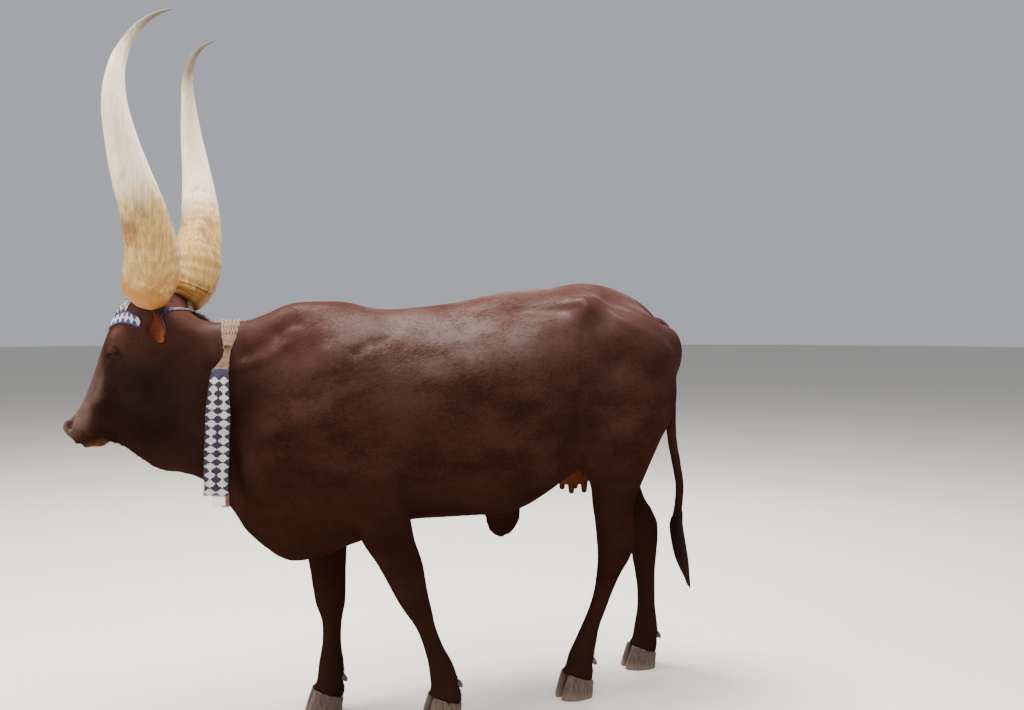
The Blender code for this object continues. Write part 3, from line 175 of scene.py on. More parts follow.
# Strokes on the body, mirrored: width, height and path
BODY_STROKES = [
    (0.028, -0.010, [(0.205, 0.080, 1.188), (0.160, 0.083, 1.208), (0.120, 0.077, 1.232)]),
    (0.020, -0.010, [(0.108, 0.069, 1.255), (0.054, 0.061, 1.280)]),
    (0.018, 0.005, [(0.226, 0.093, 1.149), (0.145, 0.103, 1.175), (0.095, 0.101, 1.214)]),
    (0.026, -0.009, [(0.085, 0.115, 1.190), (0.085, 0.180, 1.056), (0.100, 0.200, 0.882)]),
    (0.018, -0.007, [(-0.112, 0.160, 1.189), (-0.150, 0.141, 1.209), (-0.203, 0.133, 1.227)]),
    (0.040, -0.007, [(-0.19, 0.25, 1.08), (-0.20, 0.24, 0.88)]),
    (0.028, 0.007, [(-0.02, 0.16, 1.20), (-0.03, 0.20, 1.08), (-0.01, 0.21, 0.95)]),
    (0.016, -0.006, [(-0.062, 0.19, 1.09), (-0.065, 0.212, 0.98), (-0.05, 0.218, 0.90)]),
    (0.024, 0.006, [(-0.105, 0.21, 1.07), (-0.105, 0.222, 0.98), (-0.09, 0.222, 0.91)]),
    (0.026, -0.006, [(-0.02, 0.22, 0.90), (-0.13, 0.22, 0.80)]),
    (0.024, -0.009, [(-0.640, 0.126, 1.322), (-0.759, 0.148, 1.319), (-0.845, 0.180, 1.336)]),
    (0.065, -0.012, [(-0.775, 0.25, 1.24), (-0.80, 0.27, 1.14)]),
    (0.020, 0.006, [(-0.905, 0.10, 1.405), (-0.866, 0.19, 1.36), (-0.858, 0.215, 1.29)]),
    (0.030, -0.013, [(-0.893, 0.198, 1.275), (-0.913, 0.207, 1.211), (-0.949, 0.223, 1.129)]),
    (0.022, 0.008, [(-0.925, 0.145, 1.362), (-0.993, 0.195, 1.293), (-1.097, 0.213, 1.233),
                    (-1.190, 0.180, 1.195)]),
    (0.022, -0.005, [(-0.985, 0.125, 1.366), (-1.069, 0.165, 1.325)]),
    (0.026, -0.010, [(-1.15, 0.05, 1.355), (-1.21, 0.06, 1.29)]),
    (0.020, -0.005, [(-0.855, 0.205, 1.260), (-0.832, 0.239, 1.034)]),
    (0.050, -0.010, [(-0.80, 0.24, 0.86), (-0.86, 0.23, 0.98)]),
    (0.035, -0.006, [(-0.90, 0.25, 1.12), (-0.93, 0.25, 1.02), (-0.93, 0.25, 0.90)]),
]

# Strokes on the head, mirrored: width, height and path down the face, out of it and to the left
HEAD_STROKES = [
    (0.022, 0.005, [(0.136, 0.004, 0.098), (0.158, -0.006, 0.103), (0.182, -0.004, 0.100)]),
    (0.010, -0.004, [(0.175, -0.064, 0.104), (0.205, -0.060, 0.102), (0.228, -0.040, 0.097)]),
    (0.011, 0.006, [(0.224, -0.018, 0.094), (0.260, -0.051, 0.091), (0.300, -0.064, 0.077)]),
    (0.020, -0.005, [(0.250, -0.088, 0.095), (0.300, -0.114, 0.076)]),
    (0.008, -0.005, [(0.337, -0.050, 0.064), (0.323, -0.075, 0.076), (0.308, -0.092, 0.078)]),
    (0.010, 0.006, [(0.330, -0.086, 0.073), (0.357, -0.077, 0.069), (0.393, -0.072, 0.067),
                    (0.419, -0.083, 0.065)]),
    (0.013, -0.005, [(0.270, -0.012, 0.078), (0.325, -0.032, 0.056), (0.375, -0.033, 0.052)]),
    (0.024, -0.008, [(0.320, -0.124, 0.068), (0.355, -0.116, 0.062), (0.400, -0.110, 0.056)]),
]

# Soft creases of the neck behind the horns: path on the near side
NECK_FOLDS = [
    [(0.364, -0.017, 1.298), (0.356, 0.024, 1.217), (0.342, 0.058, 1.150)],
    [(0.346, -0.025, 1.294), (0.339, 0.033, 1.205), (0.326, 0.066, 1.140)],
    [(0.328, -0.035, 1.292), (0.321, 0.038, 1.202), (0.310, 0.072, 1.130)],
    [(0.293, -0.029, 1.286), (0.295, 0.038, 1.217), (0.286, 0.076, 1.140)],
]

# Creases round the front of the brisket, mirrored: width, height and path
BRISKET_FOLDS = [
    (0.016, -0.0034, [(0.238, 0.077, 0.843), (0.226, 0.062, 0.750), (0.165, 0.050, 0.650)]),
    (0.016, -0.0034, [(0.190, 0.126, 0.788), (0.152, 0.110, 0.700), (0.105, 0.070, 0.605)]),
    (0.016, -0.0034, [(0.068, 0.188, 0.760), (0.087, 0.124, 0.690), (0.070, 0.070, 0.600)]),
]

# Thin branching veins of the face and lower cheek, mirrored: width, height and path
VEINS = [
    (0.0042, 0.0017, [(0.235, -0.060, 0.094), (0.290, -0.080, 0.080), (0.335, -0.066, 0.071),
                      (0.375, -0.052, 0.066)]),
    (0.0042, 0.0017, [(0.290, -0.080, 0.080), (0.300, -0.120, 0.075), (0.290, -0.160, 0.068)]),
    (0.0042, 0.0017, [(0.335, -0.066, 0.071), (0.350, -0.030, 0.066), (0.372, -0.010, 0.052)]),
]

# Strokes on the muzzle: lip line, upper lip, lower lip, nostril, its front rim and its wing
MUZZLE_STROKES = [
    (0.0050, -0.0065, [(0.508, -0.081, 0.0), (0.498, -0.083, 0.026), (0.478, -0.086, 0.052),
                       (0.461, -0.101, 0.057), (0.443, -0.114, 0.052), (0.418, -0.125, 0.046)]),
    (0.0100, 0.0035, [(0.494, -0.070, 0.030), (0.470, -0.076, 0.058), (0.445, -0.095, 0.060)]),
    (0.0090, 0.0040, [(0.490, -0.099, 0.026), (0.462, -0.116, 0.044), (0.436, -0.128, 0.044)]),
    (0.0070, -0.0140, [(0.447, -0.015, 0.044), (0.457, -0.026, 0.052), (0.470, -0.038, 0.055)]),
    (0.0080, 0.0040, [(0.470, -0.010, 0.036), (0.482, -0.026, 0.046), (0.486, -0.042, 0.050)]),
    (0.0080, 0.0035, [(0.436, -0.018, 0.048), (0.444, -0.034, 0.060), (0.460, -0.050, 0.064)]),
]

# Legs: height, place ahead, half depth, place left, half width
NEAR_FORE = [
    (1.05, -0.02, 0.130, 0.150, 0.070),
    (0.95, -0.04, 0.150, 0.165, 0.078),
    (0.80, -0.11, 0.140, 0.165, 0.082),
    (0.72, -0.16, 0.112, 0.158, 0.074),
    (0.657, -0.195, 0.090, 0.150, 0.064),
    (0.602, -0.214, 0.084, 0.144, 0.057),
    (0.533, -0.250, 0.074, 0.137, 0.050),
    (0.464, -0.276, 0.062, 0.130, 0.046),
    (0.410, -0.296, 0.053, 0.126, 0.047),
    (0.370, -0.314, 0.046, 0.122, 0.044),
    (0.322, -0.336, 0.035, 0.118, 0.034),
    (0.278, -0.355, 0.033, 0.114, 0.030),
    (0.235, -0.372, 0.035, 0.110, 0.031),
    (0.194, -0.390, 0.041, 0.107, 0.037),
    (0.145, -0.403, 0.045, 0.104, 0.043),
    (0.110, -0.408, 0.046, 0.101, 0.044),
    (0.075, -0.410, 0.053, 0.100, 0.050),
    (0.030, -0.406, 0.053, 0.100, 0.050),
]
FAR_FORE = [
    (1.05, -0.02, 0.130, -0.150, 0.070),
    (0.95, 0.00, 0.150, -0.165, 0.078),
    (0.80, -0.05, 0.135, -0.165, 0.082),
    (0.72, -0.06, 0.110, -0.158, 0.074),
    (0.657, -0.068, 0.088, -0.150, 0.064),
    (0.602, -0.072, 0.078, -0.145, 0.057),
    (0.533, -0.076, 0.069, -0.138, 0.050),
    (0.477, -0.079, 0.062, -0.132, 0.046),
    (0.417, -0.082, 0.057, -0.126, 0.046),
    (0.355, -0.085, 0.050, -0.122, 0.044),
    (0.310, -0.088, 0.037, -0.119, 0.034),
    (0.270, -0.088, 0.0335, -0.116, 0.030),
    (0.220, -0.086, 0.034, -0.112, 0.031),
    (0.175, -0.084, 0.041, -0.108, 0.038),
    (0.140, -0.082, 0.0435, -0.105, 0.043),
    (0.105, -0.077, 0.044, -0.102, 0.043),
    (0.075, -0.072, 0.052, -0.100, 0.050),
    (0.030, -0.066, 0.052, -0.100, 0.050),
]
NEAR_HIND = [
    (1.16, -1.06, 0.150, 0.120, 0.080),
    (1.02, -1.045, 0.178, 0.150, 0.100),
    (0.91, -1.014, 0.158, 0.168, 0.098),
    (0.83, -1.001, 0.130, 0.174, 0.088),
    (0.752, -0.996, 0.098, 0.170, 0.073),
    (0.675, -0.989, 0.076, 0.160, 0.058),
    (0.610, -0.998, 0.071, 0.150, 0.047),
    (0.555, -1.008, 0.072, 0.141, 0.043),
    (0.510, -1.011, 0.067, 0.134, 0.044),
    (0.470, -1.005, 0.057, 0.129, 0.043),
    (0.431, -0.992, 0.046, 0.124, 0.037),
    (0.365, -0.976, 0.036, 0.113, 0.029),
    (0.300, -0.957, 0.034, 0.103, 0.027),
    (0.240, -0.935, 0.0355, 0.094, 0.029),
    (0.185, -0.920, 0.042, 0.086, 0.036),
    (0.145, -0.909, 0.046, 0.080, 0.042),
    (0.110, -0.903, 0.047, 0.075, 0.043),
    (0.080, -0.899, 0.053, 0.072, 0.049),
    (0.030, -0.893, 0.053, 0.070, 0.049),
]
FAR_HIND = [
    (1.16, -1.06, 0.150, -0.120, 0.080),
    (1.02, -1.07, 0.180, -0.150, 0.100),
    (0.91, -1.09, 0.165, -0.168, 0.098),
    (0.83, -1.12, 0.135, -0.172, 0.086),
    (0.752, -1.155, 0.100, -0.166, 0.070),
    (0.675, -1.188, 0.078, -0.156, 0.055),
    (0.620, -1.215, 0.068, -0.146, 0.046),
    (0.569, -1.240, 0.066, -0.136, 0.042),
    (0.520, -1.260, 0.065, -0.128, 0.044),
    (0.470, -1.266, 0.057, -0.122, 0.043),
    (0.420, -1.266, 0.051, -0.118, 0.037),
    (0.360, -1.268, 0.043, -0.116, 0.030),
    (0.300, -1.272, 0.0385, -0.114, 0.027),
    (0.230, -1.273, 0.037, -0.113, 0.029),
    (0.180, -1.272, 0.042, -0.112, 0.036),
    (0.140, -1.270, 0.046, -0.111, 0.042),
    (0.105, -1.264, 0.048, -0.110, 0.043),
    (0.075, -1.256, 0.053, -0.110, 0.049),
    (0.030, -1.248, 0.052, -0.110, 0.049),
]

# Horn: height, ahead, left offset, radius
HORN = [
    (1.356, 0.000, 0.128, 0.044),
    (1.362, -0.003, 0.133, 0.060),
    (1.374, -0.006, 0.139, 0.071),
    (1.396, -0.009, 0.147, 0.079),
    (1.438, -0.023, 0.157, 0.081),
    (1.500, -0.029, 0.172, 0.0780),
    (1.600, -0.025, 0.216, 0.0660),
    (1.690, -0.008, 0.248, 0.0570),
    (1.790, 0.011, 0.270, 0.0458),
    (1.900, 0.028, 0.276, 0.0352),
    (2.000, 0.029, 0.256, 0.0245),
    (2.070, 0.018, 0.221, 0.0180),
    (2.128, -0.008, 0.194, 0.0125),
    (2.166, -0.048, 0.174, 0.0073),
    (2.184, -0.092, 0.164, 0.0030),
]

# Ear: ahead, height, left offset, half width, cup depth
EAR = [
    (0.034, 1.305, 0.076, 0.022, 0.018),
    (0.024, 1.301, 0.102, 0.029, 0.021),
    (0.002, 1.291, 0.128, 0.036, 0.024),
    (-0.026, 1.276, 0.156, 0.040, 0.022),
    (-0.053, 1.257, 0.182, 0.034, 0.016),
    (-0.073, 1.242, 0.202, 0.018, 0.009),
    (-0.081, 1.235, 0.212, 0.006, 0.003),
]

# Tail: place ahead, height, radius
TAIL = [
    (-1.205, 1.276, 0.034),
    (-1.250, 1.270, 0.033),
    (-1.284, 1.235, 0.029),
    (-1.301, 1.170, 0.025),
    (-1.306, 1.060, 0.0215),
    (-1.308, 0.940, 0.0190),
    (-1.314, 0.857, 0.0175),
    (-1.332, 0.770, 0.0165),
    (-1.346, 0.690, 0.0155),
    (-1.342, 0.620, 0.0150),
    (-1.337, 0.580, 0.0140),
]

# Switch: place ahead and height of its middle line
SWITCH = [
    (-1.342, 0.640),
    (-1.337, 0.580),
    (-1.3326, 0.545),
    (-1.341, 0.490),
    (-1.354, 0.430),
    (-1.370, 0.375),
    (-1.384, 0.330),
    (-1.391, 0.298),
]

# Feet: place ahead, place left, coronet height, toe turn in degrees
FEET = {
    "fore_left": (-0.410, 0.100, 0.070, 4),
    "fore_right": (-0.071, -0.100, 0.070, -4),
    "hind_left": (-0.899, 0.071, 0.070, 5),
    "hind_right": (-1.253, -0.110, 0.070, -5),
}

# Claw: drop from coronet to sole, lean ahead, half length, width, inset
CLAW = [
    (0.00, 0.0000, 0.0475, 0.0425, 0.0),
    (0.35, 0.0070, 0.0510, 0.0455, 0.0),
    (0.70, 0.0135, 0.0552, 0.0478, 0.0),
    (0.92, 0.0170, 0.0570, 0.0485, 0.0),
    (1.00, 0.0170, 0.0565, 0.0478, 0.0004),
]

# Dewclaws: place ahead, place left, height
FETLOCKS = {
    "fore_left": (-0.4525, 0.102, 0.118),
    "fore_right": (-0.1225, -0.103, 0.114),
    "hind_left": (-0.950, 0.077, 0.120),
    "hind_right": (-1.3125, -0.110, 0.115),
}


def smooth_rows(rows, steps):
    """Rows of numbers with steps in-between rows each, on Catmull-Rom curves through them."""
    rows = np.array(rows, dtype=float)
    padded = np.vstack([2 * rows[0] - rows[1], rows, 2 * rows[-1] - rows[-2]])
    a, b, c, d = (padded[i:len(rows) - 1 + i, None, :] for i in range(4))
    t = (np.arange(steps) / steps)[None, :, None]
    bend, twist = 2 * a - 5 * b + 4 * c - d, 3 * b - a - 3 * c + d
    curve = 0.5 * (2 * b + (c - a) * t + bend * t ** 2 + twist * t ** 3)
    return np.vstack([curve.reshape(-1, rows.shape[1]), rows[-1:]])


def column(values):
    return np.asarray(values, dtype=float).reshape(-1, 1)


def unit(vectors):
    return vectors / np.maximum(np.linalg.norm(vectors, axis=-1, keepdims=True), 1e-9)


def turns(count):
    """A row of even angles round a circle."""
    return np.arange(count)[None, :] * 2 * np.pi / count


def ovals(centre, side, up, half, above, below, box=2.2, thin_top=0.0, thin_low=0.0, count=32):
    """A grid of rounded outlines, one a row: centre + across * side + rise * up round a
    superellipse, across drawn in by the square of the rise, which has its own height above and below."""
    turn = turns(count)
    power = 2 / column(box)
    across = np.sign(np.cos(turn)) * np.abs(np.cos(turn)) ** power
    rise = np.sign(np.sin(turn)) * np.abs(np.sin(turn)) ** power
    drawn = 1 - column(thin_top) * np.clip(rise, 0, 1) ** 2 - column(thin_low) * np.clip(-rise, 0, 1) ** 2
    tall = np.where(rise > 0, column(above), column(below))
    centre, side, up = (np.asarray(v, dtype=float).reshape(-1, 1, 3) for v in (centre, side, up))
    return centre + (across * drawn * column(half))[..., None] * side + (rise * tall)[..., None] * up


def tube(path, depth, width, side, count=16):
    """A grid round a path: ellipses square to it, their width along side."""
    ahead = unit(np.gradient(path, axis=0))
    side = np.broadcast_to(np.asarray(side, dtype=float), path.shape)
    across = unit(side - (side * ahead).sum(axis=1, keepdims=True) * ahead)
    return ovals(path, across, np.cross(ahead, across), width, depth, depth, 2.0, count=count)


def grid_faces(rows, columns, wrap_rows=False, wrap_columns=True):
    """The quads of a grid of points, joined end to start where it wraps."""
    i = np.arange(rows if wrap_rows else rows - 1)[:, None]
    j = np.arange(columns if wrap_columns else columns - 1)[None, :]
    right, below = (j + 1) % columns, (i + 1) % rows
    corners = [i * columns + j, i * columns + right, below * columns + right, below * columns + j]
    return np.stack(np.broadcast_arrays(*corners), -1).reshape(-1, 4)


def closed(grid):
    """Points and faces of a grid that wraps round each row, with a fan over both end rows."""
    rows, columns = grid.shape[:2]
    turn = np.arange(columns)
    after = (turn + 1) % columns
    first, last = rows * columns, (rows - 1) * columns
    points = np.vstack([grid.reshape(-1, 3), grid[0].mean(axis=0), grid[-1].mean(axis=0)])
    fans = np.vstack([np.stack([after, turn, np.full(columns, first)], -1),
                      np.stack([last + turn, last + after, np.full(columns, first + 1)], -1)])
    return points, grid_faces(rows, columns).tolist() + fans.tolist()


def copies(grids):
    """Points and faces of many closed grids of one size, stacked as (count, rows, columns, 3)."""
    count = len(grids)
    each, faces = closed(grids[0])
    ends = np.stack([grids[:, 0].mean(axis=1), grids[:, -1].mean(axis=1)], axis=1)
    points = np.concatenate([grids.reshape(count, -1, 3), ends], axis=1)
    offset = (np.arange(count) * len(each))[:, None, None]
    all_faces = []
    for corners in (4, 3):
        alike = np.array([face for face in faces if len(face) == corners])
        all_faces += (alike + offset).reshape(-1, corners).tolist()
    return points.reshape(-1, 3), all_faces


def joined(shapes):
    """Points and faces of several shapes as one."""
    points, faces, start = [], [], 0
    for more, their_faces in shapes:
        points.append(more)
        faces += [[start + i for i in face] for face in their_faces]
        start += len(more)
    return np.vstack(points), faces


def piece(name, shape, outward=True):
    """An object from points and faces, its faces turned outward."""
    points, faces = shape
    mesh = bpy.data.meshes.new(name)
    mesh.from_pydata(np.asarray(points).tolist(), [], faces)
    if outward:
        shell = bmesh.new()
        shell.from_mesh(mesh)
        bmesh.ops.recalc_face_normals(shell, faces=shell.faces)
        shell.to_mesh(mesh)
        shell.free()
    mesh.shade_smooth()
    item = bpy.data.objects.new(name, mesh)
    bpy.context.scene.collection.objects.link(item)
    return item


def settle(item):
    """Turns an object's modifiers into plain mesh."""
    bpy.context.view_layer.update()
    mesh = bpy.data.meshes.new_from_object(item.evaluated_get(bpy.context.evaluated_depsgraph_get()))
    item.modifiers.clear()
    item.data = mesh


def read(item, what="co"):
    values = np.empty(len(item.data.vertices) * 3, dtype=np.float32)
    item.data.vertices.foreach_get(what, values)
    return values.reshape(-1, 3).astype(float)


def write(item, points):
    item.data.vertices.foreach_set("co", points.astype(np.float32).ravel())
    item.data.update()


def remember(item, name, values):
    """Keeps a number for each point under a name that the materials read."""
    kept = item.data.attributes.new(name, "FLOAT", "POINT")
    kept.data.foreach_set("value", np.asarray(values, dtype=np.float32))


def remember_rings(item, name, values, ends=(0, 1)):
    """Keeps a number for each ring of a closed grid, and for the middle of both its ends."""
    columns = len(item.data.vertices) // len(values)
    remember(item, name, np.concatenate([np.repeat(values, columns), ends]))


def smoothstep(low, high, values):
    t = np.clip((values - low) / (high - low), 0, 1)
    return t * t * (3 - 2 * t)


def relax(item, rounds, weight):
    """Laplacian softening: each point moves to the mean of its neighbours by its own share."""
    edges = np.empty(len(item.data.edges) * 2, dtype=np.int64)
    item.data.edges.foreach_get("vertices", edges)
    a, b = edges[0::2], edges[1::2]
    points = read(item)
    total = len(points)
    degree = np.maximum(np.bincount(a, minlength=total) + np.bincount(b, minlength=total), 1)
    for _ in range(rounds):
        mean = np.stack([(np.bincount(a, points[b, k], total) + np.bincount(b, points[a, k], total)) / degree
                         for k in range(3)], axis=1)
        points += (mean - points) * weight[:, None]
    write(item, points)


def reach(points, path):
    """Distance of each point from a path of straight legs."""
    path = np.array(path, dtype=float)
    best = np.linalg.norm(points - path[0], axis=1)
    for start, end in zip(path[:-1], path[1:]):
        leg = end - start
        t = np.clip((points - start) @ leg / (leg @ leg), 0, 1)
        best = np.minimum(best, np.linalg.norm(points - start - t[:, None] * leg, axis=1))
    return best


def bell(points, path, width):
    """The bell curve of each point's distance from a path over a width."""
    return np.exp(-(reach(points, path) / width) ** 2)


def press(item, strokes):
    """Moves the skin along its normals: each stroke of path, width and height adds its height
    times the bell curve of its path and width."""
    points, normals = read(item), read(item, "normal")
    moved = np.zeros(len(points))
    for path, width, height in strokes:
        moved += height * bell(points, path, width)
    write(item, points + normals * moved[:, None])


def refine(item, chosen):
    """Splits the faces between chosen points in four."""
    shell = bmesh.new()
    shell.from_mesh(item.data)
    edges = [e for e in shell.edges if chosen[e.verts[0].index] and chosen[e.verts[1].index]]
    bmesh.ops.subdivide_edges(shell, edges=edges, cuts=1, use_grid_fill=True)
    bmesh.ops.triangulate(shell, faces=[f for f in shell.faces if len(f.verts) > 4])
    shell.to_mesh(item.data)
    shell.free()


def both_sides(path):
    path = np.array(path, dtype=float)
    return [path, path * np.array([1, -1, 1])]


def head_sides(path):
    return [[on_face(a, o, s * k) for a, o, s in path] for k in (1, -1)]


def ball(centre, radii, yaw=0.0, pitch=0.0, roll=0.0, count=20):
    """An ellipsoid from its radii, turned about X, then Y, then Z by degrees."""
    rise = np.linspace(-0.97, 0.97, count // 2)[:, None] * np.pi / 2
    turn = turns(count)
    grid = np.stack([np.cos(rise) * np.cos(turn), np.cos(rise) * np.sin(turn), np.sin(rise) + 0 * turn], -1)
    cz, sz, cy, sy, cx, sx = (f(math.radians(a)) for a in (yaw, pitch, roll) for f in (math.cos, math.sin))
    spin = np.array([[cz, -sz, 0], [sz, cz, 0], [0, 0, 1]]) @ np.array([[cy, 0, sy], [0, 1, 0], [-sy, 0, cy]])
    spin = spin @ np.array([[1, 0, 0], [0, cx, -sx], [0, sx, cx]])
    return closed((grid * np.array(radii)) @ spin.T + np.array(centre))


def trunk_form():
    """Superellipse outlines square to X through the stations of TRUNK."""
    x, mid, top, low, half, box, thin_top, thin_low = smooth_rows(TRUNK, 4).T
    centre = np.stack([x, 0 * x, mid], axis=1)
    return closed(ovals(centre, sideways, upward, half, top - mid, mid - low, box, thin_top, thin_low, 64))


def neck_form():
    """Outlines square to a path that turns towards the head."""
    x, y, mid, top, low, half, turn = smooth_rows(NECK, 4).T
    turn = np.radians(turn)
    side = np.stack([-np.sin(turn), np.cos(turn), 0 * turn], axis=1)
    centre = np.stack([x, y, mid], axis=1)
    return closed(ovals(centre, side, upward, half, top - mid, mid - low, 2.1, 0.5, 0.35, 48))


def dewlap_form():
    """A thin keel of outlines square to its path under the throat, neck and chest."""
    x, y, top, low, half = smooth_rows(DEWLAP, 4).T
    ahead = unit(np.stack([-np.gradient(x), -np.gradient(y)], axis=1))
    side = np.stack([-ahead[:, 1], ahead[:, 0], 0 * x], axis=1)
    mid = (top + low) / 2
    centre = np.stack([x, y, mid], axis=1)
    return closed(ovals(centre, side, upward, half, top - mid, mid - low, 2.1, 0, 0.45, 32))


def head_form():
    """Outlines square to the face line from poll to muzzle."""
    along, top, mid, low, half, box, thin_top, thin_low = smooth_rows(HEAD, 5).T
    centre = on_face(column(along), column(mid), 0)
    return closed(ovals(centre, leftward, face_out, half, top - mid, mid - low, box, thin_top, thin_low, 64))


def leg_form(rows, foot):
    """Level outlines down a leg, pressed flat on the slanting rim of its claws."""
    z, x, depth, y, half = smooth_rows(rows, 4).T
    grid = ovals(np.stack([x, y, z], axis=1), sideways, forward, half, depth, depth, 2.1, count=40)
    rim = FEET[foot][2] + SOLE_SLOPE * (grid[..., 0] - FEET[foot][0])
    grid[..., 2] = np.maximum(grid[..., 2], rim - 0.002)
    return closed(grid)


def muscles():
    """Ellipsoids under the skin: blades, points, thighs, hooks, pins, cheeks and horn seats."""
    made = [ball(on_face(0.462, -0.110, 0.0), (0.030, 0.038, 0.024)),
            ball((-1.220, 0.0, 1.270), (0.050, 0.040, 0.034), pitch=35),
            ball((-0.652, 0.0, 0.632), (0.066, 0.022, 0.080), pitch=-14),
            ball((-0.912, 0, 0.774), (0.098, 0.084, 0.062))]
    along, out, side = EYE_PLACE
    for k in (1, -1):
        lag = 0.0 if k > 0 else 0.05
        made += [ball((-0.035, 0.110 * k, 1.06), (0.110, 0.090, 0.225), pitch=-16, roll=8 * k),
                 ball((0.120 + 0.3 * lag, 0.140 * k, 0.93), (0.085, 0.075, 0.105)),
                 ball((-0.02, 0.150 * k, 0.83), (0.160, 0.072, 0.090), pitch=26),
                 ball((-0.868, 0.152 * k, 1.330), (0.066, 0.056, 0.048), yaw=-14 * k, roll=10 * k),
                 ball((-1.03, 0.125 * k, 1.20), (0.190, 0.105, 0.150)),
                 ball((-1.232, 0.108 * k, 1.180), (0.063, 0.050, 0.105)),
                 ball((-1.060 - 0.6 * lag, 0.138 * k, 1.05), (0.190, 0.102, 0.215), pitch=8),
                 ball((-0.910 - lag, 0.180 * k, 0.83), (0.070, 0.052, 0.085), pitch=20),
                 ball(on_face(0.20, -0.15, 0.048 * k), (0.075, 0.040, 0.080)),
                 ball(on_face(0.008, -0.006, 0.098 * k), (0.056, 0.056, 0.046)),
                 ball(on_face(along, out, side * k), (EYE_RADIUS + LID_THICKNESS,) * 3),
                 ball(on_face(0.152, -0.008, 0.078 * k), (0.036, 0.034, 0.035)),
                 ball(on_face(0.474, -0.030, 0.036 * k), (0.026, 0.024, 0.028))]
    return made


def mirrored(table, mirror):
    """Strokes of path, width and height on both sides, from a table of them."""
    return [(side, width, height) for width, height, path in table for side in mirror(path)]


def hock_strokes():
    """The point of each hock and the hollows in front of its tendon."""
    strokes = []
    for x, y in ((-1.064, 0.138), (-1.312, -0.128)):
        strokes.append(([(x - 0.005, y, 0.545), (x + 0.01, y, 0.590)], 0.028, 0.007))
    for x, y in ((-0.988, 0.148), (-1.240, -0.130)):
        for k in (1, -1):
            path = [(x - 0.035, y + 0.04 * k, 0.60), (x - 0.02, y + 0.036 * k, 0.70)]
            strokes.append((path, 0.018, -0.009))
    return strokes


def rib_strokes():
    """Faint ribs down the barrel, each farther back than the last."""
    strokes = []
    for i in range(9):
        x = -0.26 - 0.052 * i
        path = [(x, 0.20, 1.24), (x - 0.035, 0.28, 1.08), (x - 0.050, 0.30, 0.92), (x - 0.045, 0.26, 0.80)]
        strokes += [(side, 0.017, 0.0007) for side in both_sides(path)]
    return strokes


def neck_folds():
    """Soft creases down the neck behind the horns, on the near side and across from it."""
    strokes = []
    for path in NECK_FOLDS:
        across = [(x, -0.115 - y, z) for x, y, z in path]
        strokes += [(path, 0.011, -0.0026), (across, 0.011, -0.0026)]
    return strokes


def eye_frame(k, dip=0.05):
    """The centre of an eye, its axis of sight, and the ways along its slit and up its lids."""
    along, out, side = EYE_PLACE
    axis = unit(0.97 * leftward * k + 0.22 * heading - dip * upward)
    slit = math.cos(SLIT_SLOPE) * heading - math.sin(SLIT_SLOPE) * upward
    slit = unit(slit - slit @ axis * axis)
    return on_face(along, out, side * k), axis, slit, unit(upward - upward @ axis * axis)


def shape_lids(item, k):
    """Near the eye each point keeps its direction from the eyeball's centre and takes a new distance:
    a lid's thickness over the ball, or under its surface inside the opening between the lids."""
    centre, axis, slit, lift = eye_frame(k)
    lift = unit(lift - lift @ slit * slit)
    away = read(item) - centre
    distance = np.linalg.norm(away, axis=1)
    way = away / distance[:, None]
    straight = way @ axis
    x, y = np.arctan2(way @ slit, straight), np.arctan2(way @ lift, straight)
    bow = 1 - (x / LID_REACH) ** 2
    upper = LID_LINE - LID_DROOP * bow
    lower = LID_LINE - 0.46 * bow
    inside = np.minimum(np.minimum(upper - y, y - lower), LID_REACH - np.abs(x))
    opening = smoothstep(-0.030, 0.030, inside)
    fold = -0.0016 * np.exp(-((y - 0.42 - 0.1 * bow) / 0.07) ** 2) * np.clip(bow, 0, 1)
    rim = 0.0011 * np.exp(-((inside + 0.09) / 0.06) ** 2)
    lid = EYE_RADIUS + LID_THICKNESS + fold + rim
    wanted = lid * (1 - opening) + (EYE_RADIUS - 0.004) * opening
    near = smoothstep(1.45, 1.05, np.arccos(np.clip(straight, -1, 1))) * (distance < 0.045)
    write(item, centre + way * (distance * (1 - near) + wanted * near)[:, None])


def from_eyes(item):
    """Distance of each point from the nearer eye."""
    points = read(item)
    return np.min([reach(points, [eye_frame(k)[0]]) for k in (1, -1)], axis=0)


